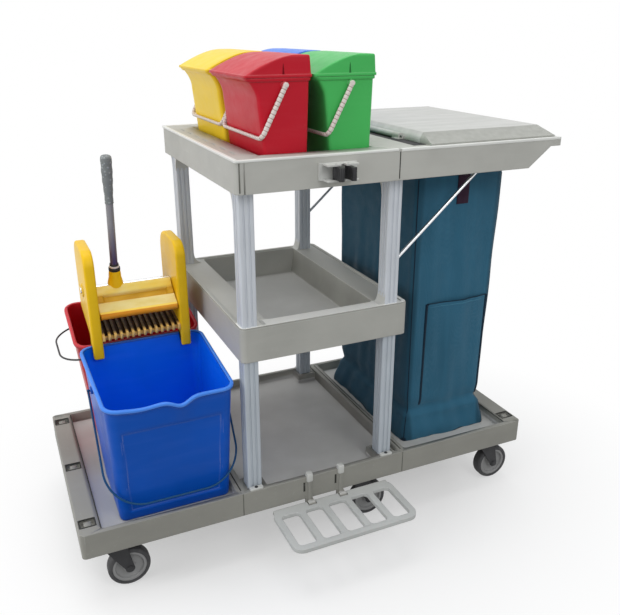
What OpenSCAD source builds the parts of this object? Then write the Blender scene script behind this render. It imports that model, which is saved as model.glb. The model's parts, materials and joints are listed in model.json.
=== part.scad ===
// Janitor cart: three platforms on casters, two shelves on posts, a lidded bag frame,
// two mop buckets with a press wringer, and four small lidded pails.
// Lengths are in millimetres. Cart coordinates run from the left end, the front face of
// the platforms and the floor. Every piece is then moved to the cart's own origin.

/* [Platforms] */
// Length of the left platform
left_l = 375; // [365:1:420]
// Length of the middle platform
middle_l = 440; // [430:1:480]
// Length of the right platform
right_l = 385; // [375:1:430]
// Depth of the platforms, front to back
base_d = 570; // [565:1:620]
// Height of the platform skirts
skirt_h = 62; // [56:1:75]
// Thickness of the skirts and deck plates
skirt_t = 6; // [4:0.5:8]
// Drop from the platform rims to the decks
deck_drop = 25; // [16:1:30]
// Width of the rim around each deck
rim_w = 12; // [8:1:16]
// Width of the end rails
rail_w = 48; // [42:1:54]
// Radius of the outer platform corners
base_corner = 10; // [4:1:20]
// Side of the square pockets in the end rails
pocket_w = 32; // [24:1:34]
// Depth of the rail pockets
pocket_deep = 12; // [6:1:15]

/* [Posts and shelves] */
// Side of the square posts
post_w = 36; // [30:1:40]
// Wall thickness of the posts
post_t = 5; // [4:0.5:7]
// Radius of the flutes down the posts
flute_r = 2.5; // [1:0.5:3]
// Depth of the sockets that hold the posts
socket_deep = 25; // [15:1:28]
// Gap all round a post in its socket
socket_fit = 0.2; // [0.1:0.05:0.4]
// Left posts from the left end of the middle platform
post_in_left = 36; // [32:1:44]
// Right posts from the right end of the middle platform
post_in_right = 47; // [42:1:56]
// Posts from the front and rear faces of the platforms
post_in_y = 33; // [30:1:40]
// Clear height from the platform rims to the middle shelf
lower_clear = 334; // [320:1:420]
// Height of the middle shelf
mid_h = 80; // [70:1:100]
// Depth of the middle shelf, front to back
mid_d = 550; // [545:1:600]
// Rim width of the middle shelf
mid_rim = 24; // [16:1:30]
// Floor thickness of the middle shelf
mid_floor = 12; // [6:1:16]
// Clear height from the middle shelf to the top shelf
upper_clear = 304; // [290:1:400]
// Height of the top shelf and the bag frame
top_h = 68; // [60:1:80]
// Depth of the top shelf and the bag frame, front to back
top_d = 600; // [590:1:640]
// Height of the pail recess floor above the underside of the top shelf
top_floor = 22; // [14:1:30]
// Radius of the shelf corners
shelf_corner = 14; // [8:1:18]

/* [Bag frame, lid and bag] */
// Length of the bag frame
frame_l = 447; // [440:1:500]
// Length of the slanted end under the push lip
slant_l = 61; // [50:1:70]
// Length of the push lip
lip_l = 29; // [24:1:36]
// Height of the push lip
lip_h = 20; // [14:1:26]
// Bag width at its mouth
bag_w = 254; // [220:1:262]
// Bag depth at its mouth, front to back
bag_d = 410; // [360:1:440]
// Left side of the bag from the left end of the bag frame
bag_in = 111; // [106:1:118]
// Thickness of the bag cloth with its hem
bag_t = 3; // [2:0.5:5]
// How far the bag draws in at its waist
bag_waist = 10; // [4:1:16]
// How far the hem flares at the bottom
bag_flare = 8; // [4:1:12]
// Gap between the bag and what surrounds it
soft_gap = 0.4; // [0.2:0.1:1]
// Height of the lid above the bag frame
lid_h = 24; // [18:1:36]
// Wall thickness of the lid
lid_t = 3; // [2:0.5:4]
// Width of the front and rear bevels of the lid
lid_bevel = 50; // [30:1:60]
// Radius of the lid hinge pin
lid_pin_r = 3; // [2.5:0.25:4]
// Radius of the steel braces
brace_r = 4; // [3:0.5:6]
// Height of a brace from its foot on the post to the bag frame
brace_fall = 196; // [180:1:220]
// Distance of a brace's head from the post
brace_out = 218; // [200:1:230]

/* [Casters] */
// Height of the casters, floor to platform underside
caster_h = 138; // [132:1:160]
// Radius of the wheels
wheel_r = 50; // [40:1:52]
// Width of the wheel treads
tread_w = 28; // [22:1:32]
// Thickness of the rubber tread
tread_t = 10; // [6:1:14]
// Trail of the axle behind the swivel
trail = 28; // [20:1:34]
// Radius of the axles
axle_r = 4; // [3:0.5:6]
// Swivels from the front and rear faces
caster_in_y = 55; // [50:1:70]

/* [Foot grid and handle clip] */
// Length of the foot grid
grid_l = 326; // [310:1:360]
// Reach of the foot grid in front of its hinge
grid_reach = 152; // [130:1:170]
// Thickness of the foot grid
grid_t = 10; // [8:1:12]
// Number of slots in the foot grid
grid_slots = 5; // [4:1:6]
// Width of the handle clip
clip_w = 88; // [84:1:100]
// Height of the handle clip
clip_h = 36; // [30:1:44]
// Gap between the clip jaws
clip_gap = 12; // [8:1:14]

/* [Mop buckets and wringer] */
// Floor width of the blue bucket
blue_w = 262; // [250:1:266]
// Front rim width of the blue bucket
blue_front_w = 284; // [270:1:288]
// Rear rim width of the blue bucket
blue_rear_w = 298; // [286:1:300]
// Height of the front rim of the blue bucket
blue_front_h = 308; // [290:1:330]
// Height of the rear rim of the blue bucket
blue_rear_h = 328; // [315:1:350]
// Floor width of the red bucket
red_w = 240; // [220:1:250]
// Rim width of the red bucket
red_rim_w = 308; // [290:1:312]
// Height of the front rim of the red bucket
red_front_h = 322; // [310:1:326]
// Height of the rear rim of the red bucket
red_rear_h = 362; // [350:1:372]
// Wall thickness of the mop buckets
bucket_t = 4; // [3:0.5:5]
// Width of the rolled bucket rims
bucket_lip = 5; // [3:0.5:6]
// Radius of the bail wire of the mop buckets
wire_r = 2.5; // [2:0.25:3]
// Thickness of the wringer cheeks
cheek_t = 25; // [20:1:28]
// Depth of the wringer cheeks, front to back
cheek_d = 168; // [150:1:180]
// Clear width between the wringer cheeks
throat_w = 192; // [180:1:196]
// Height of the cheeks above the bucket rim
cheek_h = 242; // [225:1:280]
// Number of ribs in the wringer grate
grate_ribs = 14; // [8:1:16]
// Radius of the press shaft
shaft_r = 8; // [6:0.5:9]
// Lean of the lever towards the front, in degrees
lever_lean = 10; // [0:1:15]
// Length of the lever above the press shaft
lever_l = 335; // [300:1:360]
// Radius of the lever tube
tube_r = 9; // [7:0.5:10]
// Length of the lever grip
grip_l = 112; // [90:1:130]

/* [Small pails] */
// Rim width of a small pail
pail_w = 146; // [136:1:150]
// Rim depth of a small pail, front to back
pail_d = 240; // [220:1:246]
// Height of a small pail, floor to rim
pail_h = 196; // [180:1:230]
// Wall thickness of a small pail
pail_t = 2.5; // [2:0.25:4]
// Height of a pail lid
pail_lid_h = 43; // [34:1:56]
// How far the left wall of a pail flares out, top to bottom
pail_flare = 44; // [34:1:52]
// Gap between the two columns of pails
pail_col_gap = 4; // [3:0.5:6]
// Gap between the two rows of pails
pail_row_gap = 22; // [20:1:28]
// Reach of a pail's bail from its pivots
pail_reach = 118; // [112:1:124]
// Radius of a pail's bail
pail_bail_r = 3; // [2.5:0.25:3.5]

/* [Hidden] */
$fn = 48;
over = 1;
// Radial gap of every pin that turns in its hole, and of every pin fixed in its hole
run_fit = 0.06;
fixed_fit = 0.02;
// Gap between separate curved or sliding faces
clear = 0.3;

// Heights and lengths of the frame
base_l = left_l + middle_l + right_l;
joint_1 = left_l;
joint_2 = left_l + middle_l;
base_bottom = caster_h;
base_top = caster_h + skirt_h;
deck_z = base_top - deck_drop;
plate_z = deck_z - skirt_t;
mid_bottom = base_top + lower_clear;
mid_top = mid_bottom + mid_h;
top_bottom = mid_top + upper_clear;
top_top = top_bottom + top_h;
mid_y = base_d / 2;
post_x = [joint_1 + post_in_left, joint_2 - post_in_right];
post_y = [post_in_y, base_d - post_in_y];
block_w = post_w + 22;

// Shelf and bag frame outlines
mid_x0 = post_x[0] - post_w / 2 - 5;
mid_x1 = post_x[1] + post_w / 2 + 26;
mid_y0 = mid_y - mid_d / 2;
mid_y1 = mid_y + mid_d / 2;
top_x0 = post_x[0] - post_w / 2 - 12;
top_x1 = post_x[1] - 11;
top_y0 = mid_y - top_d / 2;
top_y1 = mid_y + top_d / 2;
frame_x1 = top_x1 + frame_l;
slant_x0 = frame_x1 - lip_l - slant_l;

// Cart origin: middle of the footprint, on the floor
hinge_out = 14;
grid_y0 = -hinge_out - grid_reach;
origin = [frame_x1 / 2, (grid_y0 + top_y1) / 2, 0];

// Casters
caster_x = [75, joint_2 - 102, base_l - 76];
caster_y = [caster_in_y, base_d - caster_in_y];
plate_l = 72;
plate_w = 60;
plate_t = 4;
race_h = 3;
crown_t = 6;
kingpin_r = 5;
race_z = base_bottom - plate_t - race_h;
crown_top = race_z - clear;
crown_z = crown_top - crown_t;
leg_t = 3;
leg_y = tread_w / 2 + 2.5;
pedal_x = 18;
pedal_z = crown_z - 10;
pedal_l = 58;
pedal_pin_r = 3;

// Foot grid and its lugs
lug_at = 172;
lug_pitch = 86;
lug_x = [joint_1 + lug_at, joint_1 + lug_at + lug_pitch];
lug_w = 18;
lug_r = 8;
grid_x0 = joint_1 + 65;
grid_x1 = grid_x0 + grid_l;
grid_z = base_bottom - 9;
grid_rear = lug_r - 2;
grid_bar = 28;
grid_pin_r = 3;

// Handle clip
clip_at = 223;
clip_x = top_x0 + clip_at;
clip_z = top_bottom + 34;
clip_plate = 6;
clip_arm = 26;
jaw_r = 7;
jaw_y = top_y0 - clip_plate - 17;
jaw_half = clip_gap / 2 + jaw_r + 1;
jaw_pin_r = 3;

// Lid and its hinge
hinge_x = top_x1 + 75;
hinge_z = top_top + lid_pin_r + 5;
barrel_r = lid_pin_r + 4;
lid_x0 = hinge_x + 10;
lid_x1 = frame_x1 - 12;
lid_y0 = top_y0 + 10;
lid_y1 = top_y1 - 10;
lug_half = 15;
lug_y = [mid_y - top_d * 4 / 15, mid_y + top_d * 4 / 15];

// Bag
bag_x0 = top_x1 + bag_in;
bag_x1 = bag_x0 + bag_w;
bag_y0 = mid_y - bag_d / 2;
bag_y1 = mid_y + bag_d / 2;
bag_z0 = deck_z + soft_gap;
bag_flange = 8;
bag_flange_t = 2;

// Mop buckets: each is [floor width, floor front, floor rear, front rim width, front rim place,
// front rim height, rear rim width, rear rim place, rear rim height]
bucket_x = joint_1 - 148;
bucket_corner = 28;
floor_corner = 16;
blue = [blue_w, 46, 270, blue_front_w, 15, blue_front_h, blue_rear_w, 318, blue_rear_h];
red = [red_w, base_d - 206, base_d - 38, red_rim_w, base_d - 228, red_front_h, red_rim_w, base_d - 20,
    red_rear_h];
ear_r = 9;
blue_ear_y = 165;
blue_ear_z = deck_z + blue_front_h - 20;
blue_half = max(blue_rear_w, blue_front_w) / 2 + 7;
blue_reach = 276;
blue_hang = 31;
blue_bend = 90;
red_ear_z = deck_z + red_front_h - 12;
red_half = (red[7] - red[4]) / 2 + bucket_lip + 8;
red_mid_y = (red[7] + red[4]) / 2;
red_reach = red_rim_w / 2 + 40;
red_hang = 82;

// Wringer
rim_y = blue[7];
rim_z = deck_z + blue_rear_h;
cheek_y0 = rim_y - 26;
cheek_y1 = cheek_y0 + cheek_d;
cheek_top = rim_z + cheek_h;
cheek_round = 40;
toe_h = 28;
toe_gap = 14;
step_gap = 6;
heel_h = 57;
grate_d = 106;
throat_x0 = bucket_x - throat_w / 2;
throat_x1 = bucket_x + throat_w / 2;
shaft_y = rim_y + 54;
shaft_z = rim_z + 129;
press_l = 88;
press_t = 8;
press_drop = 35;
press_x0 = throat_x0 + 2;
press_x1 = throat_x1 - 2;
lever_x = bucket_x - 41;
socket_l = 52;
socket_w = tube_r + 7;

// Small pails
pail_lip = 4;
pail_z0 = top_bottom + top_floor;
pail_rim = pail_z0 + pail_h;
pail_x = [top_x0 + 43, top_x0 + 43 + pail_w + pail_col_gap];
pail_y = [mid_y - (pail_d + pail_row_gap) / 2, mid_y + (pail_d + pail_row_gap) / 2];
pail_taper = 6;
pail_bend_h = 50;
pail_pivot_x = 85;
pail_pivot_z = pail_rim - 14;
pail_arm_y = pail_d / 2 + pail_bail_r + 1.5;
pail_hang = asin((pail_pivot_x - 30) / pail_reach);
recess_x0 = pail_x[0] + pail_flare - 20;
recess_x1 = pail_x[1] + pail_w - pail_lip;
recess_y0 = pail_y[0] - pail_d / 2;
recess_y1 = pail_y[1] + pail_d / 2;

// Colours
grey = [0.62, 0.62, 0.59];
pale_grey = [0.78, 0.78, 0.76];
post_grey = [0.63, 0.66, 0.70];
teal = [0.13, 0.34, 0.44];
maroon = [0.18, 0.09, 0.17];
steel = [0.80, 0.81, 0.83];
black = [0.09, 0.09, 0.10];
tread_grey = [0.20, 0.20, 0.21];
bucket_blue = [0.05, 0.28, 0.66];
bucket_red = [0.60, 0.03, 0.05];
wringer_yellow = [0.97, 0.78, 0.10];
tube_grey = [0.28, 0.26, 0.32];
grip_grey = [0.42, 0.43, 0.45];
white = [0.93, 0.92, 0.90];
pail_red = [0.70, 0.10, 0.16];
pail_green = [0.22, 0.63, 0.29];
pail_yellow = [0.97, 0.84, 0.22];
pail_blue = [0.34, 0.54, 0.90];

// Helpers

// Moves cart coordinates to the cart's origin
module placed() translate(-origin) children();

// Box between two corners
module box(a, b) translate(a) cube(b - a);

// Flat rectangle with round corners
module round_rect(x0, y0, x1, y1, r) {
    translate([x0 + r, y0]) square([x1 - x0 - 2 * r, y1 - y0]);
    translate([x0, y0 + r]) square([x1 - x0, y1 - y0 - 2 * r]);
    for (x = [x0 + r, x1 - r], y = [y0 + r, y1 - r]) translate([x, y]) circle(r);
}

// Upright block with round corners
module slab(a, b, r) translate([0, 0, a[2]]) linear_extrude(b[2] - a[2])
    round_rect(a[0], a[1], b[0], b[1], r);

// A side view drawn in Y and Z, carried along X
module along_x(x0, x1) translate([x0, 0, 0]) rotate([90, 0, 90]) linear_extrude(x1 - x0) children();

// A front view drawn in X and Z, carried along Y
module along_y(y0, y1) translate([0, y1, 0]) rotate([90, 0, 0]) linear_extrude(y1 - y0) children();

module rod_x(x0, x1, y, z, r) translate([x0, y, z]) rotate([0, 90, 0]) cylinder(h = x1 - x0, r = r);
module rod_y(x, y0, y1, z, r) translate([x, y0, z]) rotate([-90, 0, 0]) cylinder(h = y1 - y0, r = r);
module rod_z(x, y, z0, z1, r) translate([x, y, z0]) cylinder(h = z1 - z0, r = r);

// Wire bail: pivots on the X axis, arms hanging down, a bar across between two bends
module bail(width, reach, bend, r, pin_r, pin_l) {
    for (side = [0, 1]) mirror([side, 0, 0]) {
        rod_z(width / 2, 0, -(reach - bend), 0, r);
        translate([width / 2 - bend, 0, -(reach - bend)]) rotate([-90, 0, 0])
            rotate_extrude(angle = 90) translate([bend, 0]) circle(r);
        rod_x(0, width / 2 - bend, 0, -reach, r);
        rod_x(width / 2 - pin_l, width / 2, 0, 0, pin_r);
        rod_x(width / 2 - r, width / 2 + r, 0, 0, r * 1.7);
    }
}

// Platforms

module post_outline(grow) {
    w = post_w / 2 + grow;
    round_rect(-w, -w, w, w, 4);
}

// Sockets for posts, between two heights
module sockets(xs, z0, z1) for (x = xs, y = post_y)
    translate([x, y, z0]) linear_extrude(z1 - z0) post_outline(socket_fit);

// Flat outline of a platform, with round corners on the ends that stand free
module platform_outline(x0, x1, free_left, free_right) {
    keep = 2 * base_corner;
    round_rect(x0, 0, x1, base_d, base_corner);
    if (!free_left) translate([x0, 0]) square([keep, base_d]);
    if (!free_right) translate([x1 - keep, 0]) square([keep, base_d]);
}

// Square pockets along an end rail, each with a low pillar left in the middle
module rail_pockets(x) for (y = [44, mid_y, base_d - 44]) difference() {
    h = pocket_w / 2;
    p = pocket_w / 2 - 8;
    box([x - h, y - h, base_top - pocket_deep], [x + h, y + h, base_top + over]);
    box([x - p, y - p, base_top - pocket_deep], [x + p, y + p, base_top - 2]);
}

// One platform: skirts, deck, hollow underside and pads over the casters
module platform(x0, x1, free_left, free_right, swivels) {
    in_left = free_left ? rail_w : rim_w;
    in_right = free_right ? rail_w : rim_w;
    difference() {
        translate([0, 0, base_bottom]) linear_extrude(skirt_h)
            platform_outline(x0, x1, free_left, free_right);
        slab([x0 + in_left, rim_w, deck_z], [x1 - in_right, base_d - rim_w, base_top + over], 8);
        box([x0 + skirt_t, skirt_t, base_bottom - over], [x1 - skirt_t, base_d - skirt_t, plate_z]);
        if (free_left) rail_pockets(x0 + rail_w / 2 - 2);
        if (free_right) rail_pockets(x1 - rail_w / 2 + 2);
    }
    for (x = swivels, y = caster_y)
        box([x - plate_l / 2 - 3, y - plate_w / 2 - 3, base_bottom],
            [x + plate_l / 2 + 3, y + plate_w / 2 + 3, plate_z + 1]);
}

module left_platform() color(grey) placed() platform(0, joint_1, true, false, [caster_x[0]]);

module right_platform() color(grey) placed() platform(joint_2, base_l, false, true, [caster_x[2]]);

// Corner blocks round the posts of a shelf or deck
module corner_blocks(xs, z0, z1) for (x = xs, y = post_y)
    box([x - block_w / 2, y - block_w / 2, z0], [x + block_w / 2, y + block_w / 2, z1]);

// A lug on the front wall: rib with a knob above, hinge eye below
module grid_lug(x) {
    box([x - 4, -5, grid_z], [x + 4, over, base_top]);
    rod_y(x, -5, over, base_top - 2, 7);
    box([x - lug_w / 2, -hinge_out, grid_z - 6], [x + lug_w / 2, over, grid_z + 6]);
    box([x - lug_w / 2, 0, grid_z - 6], [x + lug_w / 2, skirt_t, base_bottom + over]);
    rod_x(x - lug_w / 2, x + lug_w / 2, -hinge_out, grid_z, lug_r);
}

// Post screws: a round head on the rim and a shank below it
screw_y = [post_in_y - post_w / 2 - 7, base_d - (post_in_y - post_w / 2 - 7)];
screw_r = 2;
module screw_holes() for (x = post_x, y = screw_y)
    rod_z(x, y, base_top - 14, base_top + over, screw_r + run_fit);

module middle_deck() color(grey) placed() difference() {
    union() {
        platform(joint_1, joint_2, false, false, [caster_x[1]]);
        intersection() {
            corner_blocks(post_x, base_bottom, base_top);
            box([joint_1, 0, 0], [joint_2, base_d, base_top]);
        }
        for (x = lug_x) grid_lug(x);
    }
    sockets(post_x, base_top - socket_deep, base_top + over);
    screw_holes();
    for (x = lug_x) rod_x(x - lug_w, x + lug_w, -hinge_out, grid_z, grid_pin_r + fixed_fit);
}

module post_screws() color(black) placed() for (x = post_x, y = screw_y) {
    rod_z(x, y, base_top, base_top + 2.5, 5);
    rod_z(x, y, base_top - 13, base_top, screw_r);
}

// Posts and shelves

// A fluted hollow post between two heights
module post(z0, z1) translate([0, 0, z0]) linear_extrude(z1 - z0) difference() {
    post_outline(0);
    square(post_w - 2 * post_t, center = true);
    for (turn = [0 : 90 : 270], s = [-1, 1]) rotate(turn)
        translate([post_w / 2, s * post_w / 6]) circle(flute_r);
}

module lower_posts() color(post_grey) placed() for (x = post_x, y = post_y) translate([x, y, 0])
    post(base_top - socket_deep, mid_bottom + socket_deep);

module upper_posts() color(post_grey) placed() for (x = post_x, y = post_y) translate([x, y, 0])
    post(mid_top - socket_deep, top_bottom + socket_deep);

module middle_shelf() color(grey) placed() difference() {
    slab([mid_x0, mid_y0, mid_bottom], [mid_x1, mid_y1, mid_top], shelf_corner);
    difference() {
        slab([mid_x0 + mid_rim, mid_y0 + mid_rim, mid_bottom + mid_floor],
            [mid_x1 - mid_rim, mid_y1 - mid_rim, mid_top + over], shelf_corner);
        corner_blocks(post_x, mid_bottom, mid_top + 2 * over);
    }
    difference() {
        box([mid_x0 + skirt_t, mid_y0 + skirt_t, mid_bottom - over],
            [mid_x1 - skirt_t, mid_y1 - skirt_t, mid_top - skirt_t]);
        box([mid_x0 + mid_rim - skirt_t, mid_y0 + mid_rim - skirt_t, mid_bottom + mid_floor - skirt_t],
            [mid_x1 - mid_rim + skirt_t, mid_y1 - mid_rim + skirt_t, mid_top]);
        corner_blocks(post_x, mid_bottom - 2 * over, mid_top);
    }
    sockets(post_x, mid_bottom - over, mid_bottom + socket_deep);
    sockets(post_x, mid_top - socket_deep, mid_top + over);
}

// Grooves down the outer corners of the top shelf
module corner_grooves() for (y = [top_y0, top_y1])
    box([top_x0 + shelf_corner + 3, y - 1.5, top_bottom - over],
        [top_x0 + shelf_corner + 6, y + 1.5, top_top - 5]);

// Row of drain slots along the left rim of the top shelf
slot_pitch = 66;
module rim_slots() for (i = [-3 : 3]) box([top_x0 + 26, mid_y + i * slot_pitch - 18, top_top - 4],
    [top_x0 + 31, mid_y + i * slot_pitch + 18, top_top + over]);

module top_shelf() color(grey) placed() difference() {
    union() {
        slab([top_x0, top_y0, top_bottom], [top_x1, top_y1, top_top], shelf_corner);
        box([top_x1 - 2 * shelf_corner, top_y0, top_bottom], [top_x1, top_y1, top_top]);
    }
    slab([recess_x0, recess_y0, pail_z0], [recess_x1, recess_y1, top_top + over], 8);
    difference() {
        box([top_x0 + skirt_t, top_y0 + skirt_t, top_bottom - over],
            [top_x1 - skirt_t, top_y1 - skirt_t, top_top - skirt_t]);
        box([recess_x0 - skirt_t, recess_y0 - skirt_t, pail_z0 - skirt_t],
            [recess_x1 + skirt_t, recess_y1 + skirt_t, top_top]);
        corner_blocks(post_x, top_bottom - 2 * over, top_top);
    }
    sockets(post_x, top_bottom - over, top_bottom + socket_deep);
    corner_grooves();
    rim_slots();
}

// Bag frame, lid and bag

// Front view of the bag frame, with the slanted end and the push lip
module frame_outline() polygon([[top_x1, top_bottom], [slant_x0, top_bottom],
    [frame_x1 - lip_l, top_top - lip_h], [frame_x1, top_top - lip_h], [frame_x1, top_top],
    [top_x1, top_top]]);

module bag_frame() color(grey) placed() difference() {
    union() {
        difference() {
            along_y(top_y0, top_y1) frame_outline();
            box([bag_x0 - soft_gap, bag_y0 - soft_gap, top_bottom - over],
                [bag_x1 + soft_gap, bag_y1 + soft_gap, top_top + over]);
            difference() {
                box([top_x1 + skirt_t, top_y0 + skirt_t, top_bottom - over],
                    [slant_x0 - skirt_t, top_y1 - skirt_t, top_top - skirt_t]);
                box([bag_x0 - skirt_t, bag_y0 - skirt_t, top_bottom - 2 * over],
                    [slant_x0, bag_y1 + skirt_t, top_top]);
                corner_blocks([post_x[1]], top_bottom - 2 * over, top_top);
            }
        }
        for (y = lug_y) {
            rod_y(hinge_x, y - lug_half, y + lug_half, hinge_z, barrel_r);
            box([hinge_x - barrel_r, y - lug_half, top_top - over],
                [hinge_x + barrel_r, y + lug_half, hinge_z]);
        }
    }
    sockets([post_x[1]], top_bottom - over, top_bottom + socket_deep);
    rod_y(hinge_x, lug_y[0] - lug_half - 5, lug_y[1] + lug_half + 5, hinge_z, lid_pin_r + fixed_fit);
}

module lid_hinge_pin() color(steel) placed()
    rod_y(hinge_x, lug_y[0] - lug_half - 2, lug_y[1] + lug_half + 2, hinge_z, lid_pin_r);

// Lid body shrunk by a wall: two side views crossed give its four bevels
module lid_body(wall) intersection() {
    low = top_top - (wall > 0 ? over : 0);
    high = top_top + lid_h - wall;
    along_y(lid_y0 + wall, lid_y1 - wall) polygon([[lid_x0 + wall, low],
        [lid_x0 + wall, top_top + 10 - wall], [lid_x0 + 8 + wall, high],
        [lid_x1 - 14 - wall, high], [lid_x1 - wall, top_top + 4], [lid_x1 - wall, low]]);
    along_x(lid_x0 + wall, lid_x1 - wall) polygon([[lid_y0 + wall, low],
        [lid_y0 + wall, top_top + 4], [lid_y0 + lid_bevel, high],
        [lid_y1 - lid_bevel, high], [lid_y1 - wall, top_top + 4], [lid_y1 - wall, low]]);
}

module bag_lid() color(pale_grey) placed() difference() {
    union() {
        difference() {
            lid_body(0);
            lid_body(lid_t);
        }
        rod_y(hinge_x, lug_y[0] + lug_half + clear, lug_y[1] - lug_half - clear, hinge_z, barrel_r);
        box([hinge_x, lug_y[0] + lug_half + clear, top_top + 3],
            [lid_x0 + lid_t, lug_y[1] - lug_half - clear, hinge_z]);
    }
    rod_y(hinge_x, lug_y[0], lug_y[1], hinge_z, lid_pin_r + run_fit);
}

// A steel brace from the side of a right post up to the underside of the bag frame
module brace(y) {
    foot = [post_x[1] + post_w / 2, top_bottom - brace_fall];
    head = [post_x[1] + post_w / 2 + brace_out, top_bottom];
    run = head - foot;
    translate([foot[0] + 3, y, foot[1]]) rotate([0, atan2(run[0], run[1]), 0])
        cylinder(h = norm(run) - brace_r - 2, r = brace_r);
    box([foot[0], y - post_w / 4, foot[1] - 22], [foot[0] + 3, y + post_w / 4, foot[1] + 10]);
    box([head[0] - 16, y - post_w / 4, head[1] - 3], [head[0] + 18, y + post_w / 4, head[1]]);
}

module front_brace() color(steel) placed() brace(post_y[0]);

module rear_brace() color(steel) placed() brace(post_y[1]);

// Outline of one side of the bag from hem to mouth, between two edges drawn in by a wall
bag_fall = top_bottom - bag_z0;
bag_low = bag_z0 + 0.16 * bag_fall;
bag_mid = bag_z0 + 0.51 * bag_fall;
bag_high = bag_z0 + 0.82 * bag_fall;
function bag_side(e0, e1, wall) = [[e0 - bag_flare + wall, bag_z0 + wall],
    [e0 + bag_waist + wall, bag_low], [e0 + bag_waist / 2 + wall, bag_mid],
    [e0 + wall, bag_high], [e0 + wall, top_top + wall],
    [e1 - wall, top_top + wall], [e1 - wall, bag_high],
    [e1 - bag_waist / 2 - wall, bag_mid], [e1 - bag_waist - wall, bag_low],
    [e1 + bag_flare - wall, bag_z0 + wall]];

module bag_body(wall) intersection() {
    along_y(bag_y0 - 30, bag_y1 + 30) polygon(bag_side(bag_x0, bag_x1, wall));
    along_x(bag_x0 - 30, bag_x1 + 30) polygon(bag_side(bag_y0, bag_y1, wall));
}

module bag() color(teal) placed() difference() {
    union() {
        bag_body(0);
        box([bag_x0 - bag_flange, bag_y0 - bag_flange, top_top],
            [bag_x1 + bag_flange, bag_y1 + bag_flange, top_top + bag_flange_t]);
    }
    bag_body(bag_t);
    box([bag_x0 + bag_t, bag_y0 + bag_t, top_top - over],
        [bag_x1 - bag_t, bag_y1 - bag_t, top_top + bag_flange_t + over]);
}

// Dark straps sewn to the bag under its mouth, front and rear
strap_w = 34;
strap_h = 84;
strap_t = 2.5;
module bag_straps() color(maroon) placed() for (y = [bag_y0 - strap_t, bag_y1])
    box([bag_x0 + 0.45 * bag_w, y, top_bottom - strap_h - 10],
        [bag_x0 + 0.45 * bag_w + strap_w, y + strap_t, top_bottom - 10]);

// Foot grid

grid_corner = 26;
module foot_grid() color(pale_grey) placed() difference() {
    y1 = -hinge_out + grid_rear;
    bar = 16;
    pitch = (grid_l - bar) / grid_slots;
    union() {
        slab([grid_x0, grid_y0, grid_z - grid_t / 2], [grid_x1, y1, grid_z + grid_t / 2], grid_corner);
        box([grid_x0 + 6, y1 - 40, grid_z - grid_t / 2], [grid_x1 - 6, y1, grid_z + grid_t / 2]);
    }
    for (i = [0 : grid_slots - 1])
        slab([grid_x0 + bar + i * pitch, grid_y0 + bar, grid_z - grid_t],
            [grid_x0 + (i + 1) * pitch, y1 - grid_bar, grid_z + grid_t], 10);
    for (x = lug_x) {
        box([x - lug_w / 2 - 2, -hinge_out - lug_r - 2, grid_z - grid_t],
            [x + lug_w / 2 + 2, y1 + over, grid_z + grid_t]);
        rod_x(x - lug_w - 5, x + lug_w + 5, -hinge_out, grid_z, grid_pin_r + run_fit);
    }
}

module grid_hinge_pins() color(steel) placed() for (x = lug_x)
    rod_x(x - lug_w - 4, x + lug_w + 4, -hinge_out, grid_z, grid_pin_r);

// Handle clip: a bracket with two shelves, and two jaws that pinch a handle between them

module clip_bracket() color(pale_grey) placed() difference() {
    arm_y = top_y0 - clip_plate - clip_arm;
    union() {
        box([clip_x - clip_w / 2, top_y0 - clip_plate, clip_z - clip_h / 2],
            [clip_x + clip_w / 2, top_y0, clip_z + clip_h / 2]);
        for (z = [clip_z - clip_h / 2, clip_z + clip_h / 2 - 4])
            slab([clip_x - clip_w / 2 + 8, arm_y, z], [clip_x + clip_w / 2 - 8, top_y0 - 1, z + 4], 3);
    }
    for (s = [-1, 1]) rod_z(clip_x + s * jaw_half, jaw_y, clip_z - clip_h, clip_z + clip_h,
        jaw_pin_r + run_fit);
    box([clip_x - clip_gap / 2, arm_y - over, clip_z - clip_h],
        [clip_x + clip_gap / 2, jaw_y + 2, clip_z + clip_h]);
}

// One jaw: hub with pin ends, a finger towards the front with a round tip
module clip_jaw(side) {
    x = clip_x + side * jaw_half;
    z0 = clip_z - clip_h / 2 + 4 + clear;
    z1 = clip_z + clip_h / 2 - 4 - clear;
    tip_y = jaw_y - 27;
    rod_z(x, jaw_y, z0, z1, jaw_r);
    rod_z(x, jaw_y, clip_z - clip_h / 2 + 0.5, clip_z + clip_h / 2 - 0.5, jaw_pin_r);
    box([x - 4, tip_y, z0], [x + 4, jaw_y, z1]);
    rod_z(x, tip_y, z0, z1, jaw_r - 1);
}

module clip_jaw_left() color(black) placed() clip_jaw(-1);

module clip_jaw_right() color(black) placed() clip_jaw(1);

// Casters

module caster_plates() color(black) placed() for (x = caster_x, y = caster_y) {
    box([x - plate_l / 2, y - plate_w / 2, base_bottom - plate_t],
        [x + plate_l / 2, y + plate_w / 2, base_bottom]);
    rod_z(x, y, race_z, base_bottom - 1, 23);
    rod_z(x, y, crown_z - clear - 5, race_z + 1, kingpin_r);
    rod_z(x, y, crown_z - clear - 5, crown_z - clear, 9);
}

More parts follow.
